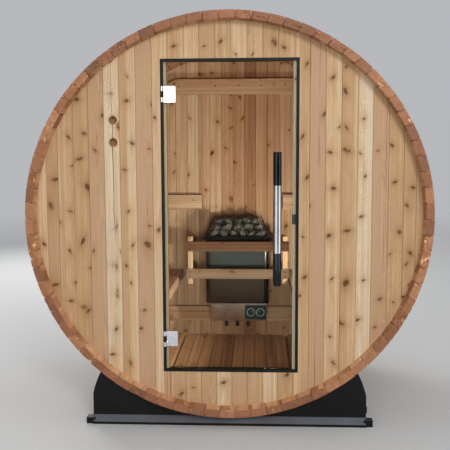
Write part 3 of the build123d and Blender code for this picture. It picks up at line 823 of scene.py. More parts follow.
def makeRearWall():
    dice = random.Random(rearWall["seed"])
    start = pointAtDepth(rearWall["seamColumn"], rearWall["seamRow"], rearInside)[0]
    pitch, half, groove = rearWall["pitch"], rearWall["gap"] / 2, rearWall["groove"]
    first = start - pitch * ceil((start + wallRadius) / pitch)
    seams = [first + pitch * i for i in range(1, int(2 * wallRadius / pitch) + 1)]
    edges = [-wallRadius] + [x for x in seams if abs(x) < wallRadius - 0.01] + [wallRadius]
    seen = [(*pointAtDepth(column, row, rearInside), radius)
            for column, row, radius in rearWall["knotPixels"]]
    timber = startTimber()
    for i, (left, right) in enumerate(zip(edges, edges[1:])):
        centre = (left + right) / 2
        knots = [(x - centre, z, r) for x, z, r in seen if left < x < right]
        # behind the doorway only the knots of the photograph show
        inView = abs(centre) < rearWall["clearHalfWidth"]
        spread = scatterKnots(dice, (right - left) / 2, 0.06, 1.8, rearWall["knotSpacing"])
        knots += [knot for knot in spread if not inView or knot[1] < rearWall["clearAbove"]]
        base = dice.uniform(*rearWall["chanceTones"])
        base = rearWall["tonesFromSeam"].get(round((left - start) / pitch), base)
        profile = plankProfile(left - centre + half, right - centre - half, wallThickness, groove, groove,
                               wallTongue, wallTongue + grooveDeeper)
        tone = (base, base + dice.uniform(-0.12, 0.12), dice.uniform(-0.05, 0.05))
        addBoard(timber, lambda a, t, d: (centre + a, rearInside + d, t), profile,
                 roundEnds(centre, wallRadius - wallEdgeGap), tone, rearWall["boardSeed"] + i, knots)
    endTimber(timber, "rear_wall_boards", roomCedar, ("rear_wall",))


makeRearWall()
print("rear wall built")


# Geometry Nodes: a tree with named inputs, run once on a start mesh and kept as a plain mesh
def startTree(name, inputs):
    # gives the wires of the inputs by name, and the output
    tree = bpy.data.node_groups.new(name, "GeometryNodeTree")
    tree.interface.new_socket(name="Geometry", in_out="INPUT", socket_type="NodeSocketGeometry")
    for label, kind, value in inputs:
        socket = tree.interface.new_socket(name=label, in_out="INPUT", socket_type="NodeSocket" + kind)
        if value is not None:
            socket.default_value = value
    tree.interface.new_socket(name="Geometry", in_out="OUTPUT", socket_type="NodeSocketGeometry")
    sockets = tree.nodes.new("NodeGroupInput").outputs
    start = {socket.name: Wire(socket) for socket in sockets if socket.name}
    return tree, start, tree.nodes.new("NodeGroupOutput").inputs[0]


def chance(low, high, seed, kind="FLOAT"):
    lowest, highest, result = {"FLOAT": (2, 3, 1), "INT": (4, 5, 2), "FLOAT_VECTOR": (0, 1, 0)}[kind]
    return add(seed.tree, "FunctionNodeRandomValue", {lowest: low, highest: high, "Seed": seed}, result,
               data_type=kind)


def store(geometry, name, value, kind="FLOAT", domain="INSTANCE"):
    return add(geometry.tree, "GeometryNodeStoreNamedAttribute",
               {"Geometry": geometry, "Name": name, "Value": value}, data_type=kind, domain=domain)


def stored(tree, name, kind="FLOAT"):
    return add(tree, "GeometryNodeInputNamedAttribute", {"Name": name}, data_type=kind)


def onPoints(points, shape, rotation, **more):
    inputs = {"Points": points, "Instance": shape, "Rotation": rotation, **more}
    return add(points.tree, "GeometryNodeInstanceOnPoints", inputs)


def closeTree(geometry, end, material):
    whole = add(geometry.tree, "GeometryNodeRealizeInstances", {"Geometry": geometry})
    feed(end, add(geometry.tree, "GeometryNodeSetMaterial", {"Geometry": whole, "Material": material}))
    return geometry.tree


def runTree(tree, startMesh, values):
    holder = stand(tree.name, startMesh)
    modifier = holder.modifiers.new(tree.name, "NODES")
    modifier.node_group = tree
    for item in tree.interface.items_tree:
        if item.in_out == "INPUT" and item.name in values:
            modifier[item.identifier] = values[item.name]
    return settle(holder)


def pointsMesh(name, places, edges=()):
    data = bpy.data.meshes.new(name)
    data.from_pydata(places, edges, [])
    return data


# Staves: one bead-and-cove stave, repeated round the barrel with its own colour, knots and torn end
stave = {
    "beadWidth": 0.016,
    "beadRise": 0.0055,
    "croze": 0.011,
    "arris": 0.0018,
    "jointGap": 0.0024,
    "columns": 6,
    "shortestBy": 0.0022,
    "sunkBy": 0.0011,
    "chipDepth": 0.0075,
    "tornScale": 30.0,
    "tornAbove": (0.60, 0.68),
    "raggedBy": 0.0008,
    "boardSeeds": (200.0, 900.0),
    "seamReach": 0.03,
    "knotReach": 0.028,
    "knotRadii": (0.002, 0.010),
    "seed": 5,
}


def makeOneStave():
    # at the top of a barrel whose axis is the Y axis; depth 0 is the weather side
    taper, arris, columns = tan(pi / staveCount), stave["arris"], stave["columns"]
    beadMiddle = staveThickness - stave["croze"] - stave["beadWidth"] / 2
    beadHalf = stave["beadWidth"] / 2
    inBead = [beadMiddle + beadHalf * step / 4 for step in range(-4, 5)]
    levels = [0, arris, (arris + inBead[0]) / 2] + inBead + [(inBead[-1] + staveThickness - arris) / 2]
    levels += [staveThickness - arris, staveThickness]

    def spread(depth):
        half = (outerFlat - depth) * taper - stave["jointGap"] / 2
        eased = max(0.0, arris - depth, depth - (staveThickness - arris))
        bulge = stave["beadRise"] * sqrt(max(0.0, 1 - ((depth - beadMiddle) / beadHalf) ** 2))
        return -half + bulge + eased, half + bulge - eased

    mesh = bmesh.new()
    grainCoord = mesh.verts.layers.float_vector.new("grainCoord")
    tip = mesh.verts.layers.float.new("tip")
    endFace = mesh.faces.layers.float.new("endFace")
    lengths = [barrelFront, barrelFront + 0.02, 0.0, barrelBack - 0.02, barrelBack]
    last, lastRow = len(levels) - 1, len(lengths) - 1
    grids = []
    for row, y in enumerate(lengths):
        grid = {}
        for i, depth in enumerate(levels):
            left, right = spread(depth)
            for j in range(columns + 1):
                if i not in (0, last) and j not in (0, columns) and row not in (0, lastRow):
                    continue
                across = left + (right - left) * j / columns
                vertex = mesh.verts.new((across, y, outerFlat - depth))
                vertex[grainCoord] = Vector((across, y, depth))
                vertex[tip] = {0: -1.0, lastRow: 1.0}.get(row, 0.0)
                grid[i, j] = vertex
        grids.append(grid)
    ring = [(0, j) for j in range(columns)] + [(i, columns) for i in range(last)]
    ring += [(last, j) for j in range(columns, 0, -1)] + [(i, 0) for i in range(last, 0, -1)]
    for near, far in zip(grids, grids[1:]):
        for here, there in zip(ring, ring[1:] + ring[:1]):
            mesh.faces.new((near[here], near[there], far[there], far[here]))
    for grid, way in ((grids[0], -1), (grids[-1], 1)):
        for i in range(last):
            for j in range(columns):
                corners = [grid[i, j], grid[i, j + 1], grid[i + 1, j + 1], grid[i + 1, j]]
                mesh.faces.new(corners[::way])[endFace] = 1.0
    return finishMesh(mesh, "one_stave")


def staveRingTree():
    tree, start, end = startTree("stave_ring", [
        ("Count", "Int", staveCount), ("Axis height", "Float", axisHeight), ("Shortest by", "Float", 0.002),
        ("Sunk by", "Float", 0.001), ("Chip depth", "Float", 0.006), ("Seed", "Int", 1)])
    count, seed = start["Count"], start["Seed"]
    points = add(tree, "GeometryNodePoints", {"Count": count})
    turn = add(tree, "GeometryNodeInputIndex") / count * (2 * pi)
    ring = onPoints(points, start["Geometry"], combine(0.0, turn))
    sunk = combine(0.0, 0.0, chance(-1.0, 0.0, seed) * start["Sunk by"])
    ring = add(tree, "GeometryNodeTranslateInstances", {"Instances": ring, "Translation": sunk})
    ring = store(ring, "boardSeed", chance(*stave["boardSeeds"], seed + 1))
    seam = stave["seamReach"]
    tone = chance((0.0, 0.0, -seam), (1.0, 1.0, seam), seed + 2, "FLOAT_VECTOR")
    ring = store(ring, "boardTone", tone, "FLOAT_VECTOR")
    reach, (smallest, largest) = stave["knotReach"], stave["knotRadii"]
    for name, more in (("knotA", 3), ("knotB", 4)):
        knot = chance((-reach, barrelFront, smallest), (reach, barrelBack, largest), seed + more,
                      "FLOAT_VECTOR")
        ring = store(ring, name, knot, "FLOAT_VECTOR")
    ring = store(ring, "shortBy", chance(0.0, 1.0, seed + 5))
    whole = add(tree, "GeometryNodeRealizeInstances", {"Geometry": ring})
    whole = add(tree, "GeometryNodeTransform",
                {"Geometry": whole, "Translation": combine(0.0, 0.0, start["Axis height"])})
    # the ends are torn in places and no two staves are equally long
    rough = grains(add(tree, "GeometryNodeInputPosition"), stave["tornScale"], 4.0, 0.62)
    begins, full = stave["tornAbove"]
    torn = add(tree, "ShaderNodeMapRange", {"Value": rough, "From Min": begins, "From Max": full}, clamp=True)
    tip = stored(tree, "tip")
    geometry = store(whole, "tornFibre", torn * calc("ABSOLUTE", tip), domain="POINT")
    back = torn * start["Chip depth"] + stored(tree, "shortBy") * start["Shortest by"]
    back = back + rough * stave["raggedBy"]
    offset = combine(0.0, back * tip * -1.0)
    moved = add(tree, "GeometryNodeSetPosition", {"Geometry": geometry, "Offset": offset})
    return closeTree(moved, end, staveCedar)


def makeStaves():
    mesh = runTree(staveRingTree(), makeOneStave(), {
        "Shortest by": stave["shortestBy"], "Sunk by": stave["sunkBy"], "Chip depth": stave["chipDepth"],
        "Seed": stave["seed"]})
    staveNodes = [name for name in cadNodes if name.startswith("staves_")]
    addPiece("staves", mesh, staveCedar, staveNodes)


makeStaves()
print("staves laid")


# Cleats, benches, floor and stops: planed boards with eased edges
roomTimber = {
    "ease": 0.0022,
    "cleatTones": (0.12, 0.30),
    "benchTones": (0.30, 0.75),
    "fasciaTones": (0.2, 0.5),
    "floorTones": (0.15, 0.80),
    "stopTones": (0.0, 0.06),
    # the slide behind the air holes takes the darkest tones: painted shade inside the holes
    "slideShadeTones": (0.95, 1.0),
    "postTones": (0.10, 0.20),
    "railTones": [(-0.05, 0.05), (0.70, 0.78)],
    "sideRailTones": (0.40, 0.60),
    "wideCleat": 0.7,
    "cleatSlope": 25,
    "cleatGap": 0.0015,
    "edgeTone": 0.1,
    "biggestKnot": 0.009,
    "boardSeeds": (300, 400),
    "seed": 23,
}
roomDice = random.Random(roomTimber["seed"])


def plainBoard(timber, low, high, grain, tones, knotSpacing=0.35, ends=None):
    # a straight board that fills the box from low to high, with its grain along one axis
    size, middle = high - low, (low + high) / 2
    # along x: across is height, and depth runs back from the face; along y: depth runs down
    width, thickness, axis, place = {
        "x": (size.z, size.y, 0, lambda a, t, d: (t, low.y + d, middle.z + a)),
        "y": (size.x, size.z, 1, lambda a, t, d: (middle.x + a, t, high.z - d)),
        "z": (size.x, size.y, 2, lambda a, t, d: (middle.x + a, low.y + d, t)),
    }[grain]
    start, stop = low[axis], high[axis]
    ease = roomTimber["ease"]
    profile = plankProfile(-width / 2, width / 2, thickness, ease, ease, rounded=True)
    ends = ends or ((lambda a, d: start), (lambda a, d: stop))
    tone = roomDice.uniform(*tones)
    biggest = min(roomTimber["biggestKnot"], width * 0.18)
    knots = scatterKnots(roomDice, width / 2, start, stop, knotSpacing, biggest)
    tones = (tone, tone + roomTimber["edgeTone"], roomDice.uniform(-0.4, 0.4) * width)
    addBoard(timber, place, profile, ends, tones, roomDice.uniform(*roomTimber["boardSeeds"]), knots, 0.06)


def islandBoxes(nodeName):
    # the box of each separate solid in a node
    source = bmesh.new()
    source.from_mesh(cadNodes[nodeName].data)
    bmesh.ops.remove_doubles(source, verts=source.verts, dist=0.00001)
    left = set(source.verts)
    boxes = []
    while left:
        queue = [left.pop()]
        island = list(queue)
        while queue:
            for edge in queue.pop().link_edges:
                for vertex in edge.verts:
                    if vertex in left:
                        left.remove(vertex)
                        queue.append(vertex)
                        island.append(vertex)
        boxes.append([Vector([pick(vertex.co[i] for vertex in island) for i in range(3)])
                      for pick in (min, max)])
    source.free()
    return sorted(boxes, key=lambda box: (round(box[0].z, 3), box[0].x, box[0].y))


def boardsFromNode(pieceName, nodeName, grain, tones, knotSpacing=0.35, material=roomCedar):
    # tones is one range, or a list with a range for each board from the lowest up
    timber = startTimber()
    for i, (low, high) in enumerate(islandBoxes(nodeName)):
        plainBoard(timber, low, high, grain, tones[i] if isinstance(tones, list) else tones, knotSpacing)
    endTimber(timber, pieceName, material, (nodeName,))


def cleatEnds(low, high):
    # the top and bottom cleats have ends that slope with the barrel, the others stop at the staves
    slope, reach = 1 / tan(radians(roomTimber["cleatSlope"])), innerFlat - roomTimber["cleatGap"]
    middle, half = (low.z + high.z) / 2, (high.z - low.z) / 2

    def inset(a):
        return (a * (1 if middle > axisHeight else -1) + half) * slope

    def chord(a):
        return sqrt(reach ** 2 - (middle + a - axisHeight) ** 2)

    if high.x - low.x > roomTimber["wideCleat"]:
        return (lambda a, d: low.x + inset(a)), (lambda a, d: high.x - inset(a))
    if low.x < 0:
        return (lambda a, d: -chord(a)), (lambda a, d: high.x)
    return (lambda a, d: low.x), (lambda a, d: chord(a))


def makeCleats():
    for pieceName, nodeName in (("wall_cleats", "rear_cleats"), ("front_wall_cleats", "front_cleats")):
        timber = startTimber()
        for low, high in islandBoxes(nodeName):
            knotSpacing = 0.5 if high.x - low.x > roomTimber["wideCleat"] else 0.4
            plainBoard(timber, low, high, "x", roomTimber["cleatTones"], knotSpacing, cleatEnds(low, high))
        endTimber(timber, pieceName, roomCedar, (nodeName,))


makeCleats()
boardsFromNode("floor_slats", "floor_boards", "y", roomTimber["floorTones"], 0.5, floorCedar)
for side in ("left", "right"):
    boardsFromNode(f"{side}_seat_slats", f"{side}_bench_slats", "y", roomTimber["benchTones"])
    boardsFromNode(f"{side}_seat_fascia", f"{side}_bench_fascia", "y", roomTimber["fasciaTones"])
boardsFromNode("door_stop_strips", "door_stops", "z", roomTimber["stopTones"], 3.0, wallCedar)
# darkest tones on the slide: painted shade inside the air holes
boardsFromNode("vent_slide_board", "vent_slide", "z", roomTimber["slideShadeTones"], material=wallCedar)
boardsFromNode("guard_uprights", "guard_posts", "z", roomTimber["postTones"], 0.4)
boardsFromNode("guard_rails_front", "guard_front_rails", "x", roomTimber["railTones"], 0.4)
boardsFromNode("guard_rails_side", "guard_side_rails", "y", roomTimber["sideRailTones"], 0.4)
print("room timber built")


# Screws: one head, repeated at marked points
screws = {
    "radius": 0.0042,
    "rise": 0.0011,
    "recess": 0.0022,
    "recessDepth": 0.0016,
    "sides": 20,
    "topCleatPixels": [(178.5, 86.5), (215.4, 85.8), (238.5, 85.3), (261.0, 85.3), (285.0, 84.7)],
    "wideCleatCount": 5,
    "wideCleatInset": 0.14,
    "shortCleatCount": 4,
    "shortCleatInset": 0.05,
    "stagger": (-0.014, 0.012),
    "railInset": (0.019, 0.016),
    "shinyAbove": 0.6,
}


def makeScrewHead():
    # a domed head with a square drive recess, its seat at the origin and its top towards -Y
    radius, rise, sides = screws["radius"], screws["rise"], screws["sides"]
    square = []
    for x, z in circle(1.0, sides):
        size = screws["recess"] / max(abs(x), abs(z)) / 2 ** 0.5
        square.append((size * x, size * z))
    rings = [(circle(radius, sides), 0.0004), (circle(radius, sides), -rise * 0.45),
             (circle(radius * 0.72, sides), -rise), (square, -rise),
             ([(x * 0.9, z * 0.9) for x, z in square], -rise + screws["recessDepth"])]
    mesh = bmesh.new()
    skin(mesh, [[(x, y, z) for x, z in ring] for ring, y in rings])
    return finishMesh(mesh, "screw_head")


def scatterTree(name, material):
    # puts the shape at every point, turned by the point's own turn and a chance roll about its axis
    tree, start, end = startTree(name, [("Shape", "Object", None), ("Seed", "Int", 3)])
    shape = add(tree, "GeometryNodeObjectInfo", {"Object": start["Shape"]}, "Geometry")
    points = add(tree, "GeometryNodeMeshToPoints", {"Mesh": start["Geometry"]})
    copies = onPoints(points, shape, stored(tree, "turn", "FLOAT_VECTOR"))
    roll = combine(0.0, chance(0.0, 6.28, start["Seed"]))
    copies = add(tree, "GeometryNodeRotateInstances", {"Instances": copies, "Rotation": roll})
    return closeTree(copies, end, material)


def scatterScrews(pieceName, places, material):
    data = pointsMesh(pieceName, places)
    data.attributes.new("turn", "FLOAT_VECTOR", "POINT")
    shape = stand("shape", makeScrewHead())
    mesh = runTree(scatterTree(pieceName, material), data, {"Shape": shape})
    bpy.data.objects.remove(shape)
    addPiece(pieceName, mesh, material)


def makeScrews():
    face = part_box("rear_cleats")[0].y
    shiny, dark = [], []
    for column, row in screws["topCleatPixels"]:
        x, z = pointAtDepth(column, row, face)
        dark.append((x, face, z))
    for low, high in islandBoxes("rear_cleats"):
        wide = high.x - low.x > roomTimber["wideCleat"]
        if wide and low.z > axisHeight:
            continue
        length = "wideCleat" if wide else "shortCleat"
        count, inset = screws[length + "Count"], screws[length + "Inset"]
        for i in range(count):
            x = low.x + inset + (high.x - low.x - 2 * inset) * i / (count - 1)
            dark.append((x, face, (low.z + high.z) / 2 + screws["stagger"][i % 2]))
    aside, down = screws["railInset"]
    for low, high in islandBoxes("guard_front_rails"):
        for x in (low.x + aside, high.x - aside):
            for z in (low.z + down, high.z - down):
                (shiny if x > 0 and low.z > screws["shinyAbove"] else dark).append((x, low.y, z))
    scatterScrews("cleat_screws", dark, heaterBlack)
    scatterScrews("guard_screws", shiny, hingeChrome)


makeScrews()
print("screws set")


# Stones: a few split rocks, scattered through the heap in the cage
stones = {
    "kinds": 6,
    "corners": 22,
    "smallest": 0.027,
    "largest": 0.042,
    "rowSpacing": 0.050,
    "layers": 3,
    "flatness": (1.0, 0.8, 0.62),
    "chipped": 0.86,
    "edge": 0.05,
    "jitter": 0.004,
    "heapSlope": tan(radians(23)),
    "seed": 8,
}


def makeRock(dice, name):
    mesh = bmesh.new()
    for i in range(stones["corners"]):
        direction = Vector((dice.gauss(0, 1), dice.gauss(0, 1), dice.gauss(0, 1))).normalized()
        corner = direction * Vector(stones["flatness"])
        mesh.verts.new(corner * dice.uniform(stones["chipped"], 1.0))
    bmesh.ops.convex_hull(mesh, input=mesh.verts)
    loose = [vertex for vertex in mesh.verts if not vertex.link_faces]
    bmesh.ops.delete(mesh, geom=loose, context="VERTS")
    bmesh.ops.bevel(mesh, geom=mesh.edges[:], offset=stones["edge"], segments=1, profile=0.6, affect="EDGES")
    return finishMesh(mesh, name)


def stoneHeapTree():
    tree, start, end = startTree("stone_heap", [
        ("Rocks", "Collection", None), ("Smallest", "Float", 0.02), ("Largest", "Float", 0.03),
        ("Seed", "Int", 1)])
    seed = start["Seed"]
    rocks = add(tree, "GeometryNodeCollectionInfo",
                {"Collection": start["Rocks"], "Separate Children": True, "Reset Children": True})
    points = add(tree, "GeometryNodeMeshToPoints", {"Mesh": start["Geometry"]})
    heap = onPoints(points, rocks, chance((0.0, 0.0, 0.0), (0.7, 0.7, 6.28), seed, "FLOAT_VECTOR"), **{
        "Scale": chance(start["Smallest"], start["Largest"], seed + 1), "Pick Instance": True,
        "Instance Index": chance(0, stones["kinds"] - 1, seed + 2, "INT")})
    return closeTree(heap, end, splitStone)


def makeStones():
    dice = random.Random(stones["seed"])
    rocks = bpy.data.collections.new("rocks")
    bpy.context.scene.collection.children.link(rocks)
    for i in range(stones["kinds"]):
        rocks.objects.link(bpy.data.objects.new(f"rock{i}", makeRock(dice, f"rock{i}")))
    low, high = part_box("heater_stones")
    size = high - low
    largest, spacing, layers = stones["largest"], stones["rowSpacing"], stones["layers"]
    places = []
    for layer in range(layers):
        z = low.z + largest * 0.45 + (size.z - largest * 0.95) * layer / (layers - 1)
        inset = stones["heapSlope"] * (z - low.z) + largest * 0.72
        nx, ny = int((size.x - 2 * inset) / spacing) + 1, int((size.y - 2 * inset) / (spacing * 0.9)) + 1
        for i in range(nx):
            for j in range(ny):
                x = low.x + inset + (size.x - 2 * inset) * (i + 0.3 * (j % 2)) / max(nx - 1, 1)
                y = low.y + inset + (size.y - 2 * inset) * j / max(ny - 1, 1)
                spot = (min(x, high.x - inset), y, z)
                places.append([part + dice.uniform(-1, 1) * stones["jitter"] for part in spot])
    mesh = runTree(stoneHeapTree(), pointsMesh("stone_places", places), {
        "Rocks": rocks, "Smallest": stones["smallest"], "Largest": largest, "Seed": stones["seed"]})
    for rock in list(rocks.objects):
        bpy.data.objects.remove(rock)
    bpy.data.collections.remove(rocks)
    addPiece("loose_stones", mesh, splitStone, ("heater_stones",))


stoneCage = {
    "rod": 0.0018,
    "sides": 8,
    "rodsAlong": 11,
    "rodsDeep": 7,
    "loops": (0.34, 0.68, 0.985),
    "foot": 0.01,
}


def rodTree(name, material):
    tree, start, end = startTree(name, [("Rod radius", "Float", 0.002), ("Sides", "Int", 8)])
    path = add(tree, "GeometryNodeMeshToCurve", {"Mesh": start["Geometry"]})
    ring = add(tree, "GeometryNodeCurvePrimitiveCircle",
               {"Resolution": start["Sides"], "Radius": start["Rod radius"]})
    rods = add(tree, "GeometryNodeCurveToMesh", {"Curve": path, "Profile Curve": ring, "Fill Caps": True})
    return closeTree(rods, end, material)


def makeStoneCage():
    # thin rods that slope with the heap, tied by loops, with straight ends standing in the tray
    low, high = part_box("stone_cage")
    middle, height = (low + high) / 2, high.z - low.z
    halfX, halfY = (high.x - low.x) / 2 - stoneCage["rod"], (high.y - low.y) / 2 - stoneCage["rod"]
    foot, top = stoneCage["foot"], stoneCage["loops"][-1]
    vertices, edges = [], []

    def corner(rise, x, y):
        inward = rise * height * stones["heapSlope"]
        return middle.x + x * (halfX - inward), middle.y + y * (halfY - inward), low.z + rise * height

    def rod(*points):
        first = len(vertices)
        vertices.extend(points)
        edges.extend((first + i, first + i + 1) for i in range(len(points) - 1))

    def shares(count):
        return [2 * i / (count - 1) - 1 for i in range(count)]

    for rise in stoneCage["loops"]:
        rod(*(corner(rise, x, y) for x, y in ((-1, -1), (1, -1), (1, 1), (-1, 1), (-1, -1))))
    for share in shares(stoneCage["rodsAlong"]):
        for side in (-1, 1):
            rod(corner(foot, share, side), corner(top, share, side))
    for share in shares(stoneCage["rodsDeep"])[1:-1]:
        for side in (-1, 1):
            rod(corner(foot, side, share), corner(top, side, share))
    mesh = runTree(rodTree("cage_rods", heaterBlack), pointsMesh("cage_lines", vertices, edges),
                   {"Rod radius": stoneCage["rod"], "Sides": stoneCage["sides"]})
    addPiece("cage_rods", mesh, heaterBlack, ("stone_cage",))


makeStones()
makeStoneCage()
print("stones and cage made")


# Turned pieces: a profile of (distance from the axis, place along it) spun round
def turnedMesh(name, profile, place, sides=40):
    mesh = bmesh.new()
    rings = [(circle(radius, sides) if radius else [(0, 0)], along) for radius, along in profile]
    loops = [[mesh.verts.new(place(a, b, along)) for a, b in ring] for ring, along in rings]
    for near, far in zip(loops, loops[1:]):
        for i in range(sides):
            j = (i + 1) % sides
            corners = [near[i % len(near)], near[j % len(near)], far[j % len(far)], far[i % len(far)]]
            unique = list(dict.fromkeys(corners))
            if len(unique) > 2:
                mesh.faces.new(unique)
    return finishMesh(mesh, name)


def joinParts(pieceName, parts, sharpAbove):
    # parts are (mesh, material); round sides shade smoothly and edges sharper than some degrees stay crisp
    whole = bpy.data.meshes.new(pieceName)
    joined = bmesh.new()
    materials = list(dict.fromkeys(material for mesh, material in parts))
    for mesh, material in parts:
        before = len(joined.faces)
        joined.from_mesh(mesh)
        joined.faces.ensure_lookup_table()
        for face in joined.faces[before:]:
            face.material_index = materials.index(material)
    joined.to_mesh(whole)
    joined.free()
    for material in materials:
        whole.materials.append(material)
    whole.shade_smooth()
    whole.set_sharp_from_angle(angle=radians(sharpAbove))
    return whole


pullHandle = {
    "radius": 0.018,
    "sides": 64,
    "postRadius": 0.0085,
    "postSides": 32,
    "collarRadius": 0.0135,
    "collarLength": 0.004,
    "postInset": 0.070,
    "gripHalf": 0.152,
    "groove": 0.0007,
    "endEase": 0.0025,
}


def makeHandle(pieceName, nodeName, towardsGlass):
    # a dark tube with a bright grip between two fine grooves, on two collared posts
    low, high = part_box(nodeName)
    x, middle, half = (low.x + high.x) / 2, (low.z + high.z) / 2, (high.z - low.z) / 2
    radius, grip, ease, cut = (pullHandle[key] for key in ("radius", "gripHalf", "endEase", "groove"))
    collar, thick, post = (pullHandle[key] for key in ("collarRadius", "collarLength", "postRadius"))
    tubeY, glassY = (low.y + radius, high.y) if towardsGlass > 0 else (high.y - radius, low.y)

    def tube(a, b, along):
        return x + a, tubeY + b, middle + along

    bright = [(0, -grip), (radius - cut, -grip + 0.0002), (radius, -grip + 0.0006), (radius, grip - 0.0006),
              (radius - cut, grip - 0.0002), (0, grip)]
    parts = []
    for side in (1, -1):
        end = [(0, half), (radius - ease, half), (radius - ease * 0.3, half - ease * 0.3),
               (radius, half - ease), (radius, grip + 0.0004), (radius - cut, grip), (0, grip)]
        end = [(r, side * along) for r, along in end]
        parts.append((turnedMesh("end", end, tube, pullHandle["sides"]), handleDark))
    parts.append((turnedMesh("grip", bright, tube, pullHandle["sides"]), handleSteel))
    length = abs(glassY - tubeY) - radius * 0.2
    standing = [(0, 0), (collar, 0), (collar, thick * 0.7), (collar - 0.001, thick), (post, thick + 0.0004),
                (post, length), (0, length)]
    for side in (-1, 1):
        def onGlass(a, b, along, z=middle + side * (half - pullHandle["postInset"])):
            return x + a, glassY - towardsGlass * along, z + b

        parts.append((turnedMesh("post", standing, onGlass, pullHandle["postSides"]), handleDark))
    addPiece(pieceName, joinParts(pieceName, parts, 35), None, (nodeName,), "door")


makeHandle("pull_handle", "outer_handle", 1)
makeHandle("inner_pull_handle", "inner_handle", -1)
print("handles turned")


# Heater controls: a dark plate with two dials, each in a white ring with a pointer
controls = {
    "plateDepth": 0.002,
    "cornerRadius": 0.003,
    "dialRadius": 0.0185,
    "ringRadius": 0.0235,
    "ringWidth": 0.0022,
    "spacing": 0.054,
    "knobDepth": 0.0150,
    "flutes": 24,
    "fluteDepth": 0.0007,
    "ticks": 9,
    "tickInset": 0.0035,
    "tickSize": (0.0009, 0.0006, 0.0032),
    "pointerSize": (0.0018, 0.001, 0.010),
    "pointerTurn": 35,
}


def tickRingTree(material):
    tree, start, end = startTree("tick_ring", [
        ("Count", "Int", 9), ("Radius", "Float", 0.02), ("Sweep", "Float", 4.7)])
    points = add(tree, "GeometryNodePoints", {"Count": start["Count"]})
    share = add(tree, "GeometryNodeInputIndex") / (start["Count"] - 1)
    tick = add(tree, "GeometryNodeMeshCube", {"Size": controls["tickSize"]}, "Mesh")
    out = combine(0.0, 0.0, start["Radius"])
    tick = add(tree, "GeometryNodeTransform", {"Geometry": tick, "Translation": out})
    return closeTree(onPoints(points, tick, combine(0.0, (share - 0.5) * start["Sweep"])), end, material)


def makePlate(low, high, front, face):
    # a thin plate with round corners and an eased front edge
    plate = bmesh.new()
    ease, middle = controls["cornerRadius"], (low + high) / 2
    outline = []
    for cx, cz, start in ((1, 1, 0), (-1, 1, 90), (-1, -1, 180), (1, -1, 270)):
        for i in range(5):
            angle = radians(start + 90 * i / 4)
            outline.append((cx * ((high.x - low.x) / 2 - ease) + ease * cos(angle),
                            cz * ((high.z - low.z) / 2 - ease) + ease * sin(angle)))
    skin(plate, [[(middle.x + x * share, y, middle.z + z * share) for x, z in outline]
                 for y, share in ((front, 1.0), (face + 0.0005, 1.0), (face, 0.992))])
    return finishMesh(plate, "plate")


def makeKnob(x, z, place):
    # a dial with fluted sides
    radius, deep = controls["dialRadius"], controls["knobDepth"]
    knob = turnedMesh("knob", [(radius * 1.04, 0.0), (radius * 1.04, 0.002), (radius, 0.0035),
                               (radius * 0.94, deep - 0.001), (radius * 0.90, deep), (0, deep)],
                      place, controls["flutes"] * 4)
    for vertex in knob.vertices:
        out = Vector((vertex.co.x - x, 0, vertex.co.z - z))
        if out.length > radius * 0.88:
            around = Vector((0, 1)).angle_signed(Vector((out.x, out.z)), 0.0)
            flute = controls["fluteDepth"] * (0.5 + 0.5 * cos(around * controls["flutes"]))
            vertex.co -= out.normalized() * flute
    return knob


def makeControls():
    low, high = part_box("dial_panel")
    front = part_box("control_box")[0].y
    face = front - controls["plateDepth"]
    middle = (low + high) / 2
    white = makeWhiteMarks()
    parts = [(makePlate(low, high, front, face), dialBlack)]
    ticks = runTree(tickRingTree(white), pointsMesh("tick_start", [(0, 0, 0)]),
                    {"Count": controls["ticks"], "Radius": controls["ringRadius"] - controls["tickInset"]})
    outer, inner = controls["ringRadius"], controls["ringRadius"] - controls["ringWidth"]
    for side in (-1, 1):
        x, z = middle.x + side * controls["spacing"] / 2, middle.z

        def onPlate(a, b, along, x=x):
            return x + a, face - along, z + b

        ring = [(inner, 0.0), (inner, 0.0008), (outer, 0.0008), (outer, 0.0)]
        pointer = bmesh.new()
        bmesh.ops.create_cube(pointer, size=1.0)
        for vertex in pointer.verts:
            vertex.co *= Vector(controls["pointerSize"])
            vertex.co.z += controls["dialRadius"] * 0.55
        pointer.transform(Matrix.Translation((x, face - controls["knobDepth"] - 0.0003, z))
                          @ Matrix.Rotation(radians(-controls["pointerTurn"] * side), 4, "Y"))
        moved = ticks.copy()
        moved.transform(Matrix.Translation((x, face, z)))
        parts += [(turnedMesh("ring", ring, onPlate, 56), white), (makeKnob(x, z, onPlate), dialBlack),
                  (finishMesh(pointer, "pointer"), white), (moved, white)]
    joined = joinParts("heater_controls", parts, 30)
    addPiece("heater_controls", joined, None, ("dial_panel",))


makeControls()
print("heater controls made")


# Solids that keep their shape get their finish
wear(cradleBlack, "cradle_front", "cradle_rear")
wear(frameBlack, "door_frame", "hinge_blocks")
wear(hingeChrome, "hinge_leaves")
wear(catchGrey, "door_catch")
wear(paneGlass, "door_glass")
wear(bandSteel, "band_front", "band_rear")
wear(heaterSteel, "heater_body")
wear(boxSteel, "control_box")
wear(heaterBlack, "heater_rim", "cable_glands")
wear(floorCedar, "floor_joists")
wear(roomCedar, "left_bench_ledgers", "right_bench_ledgers")


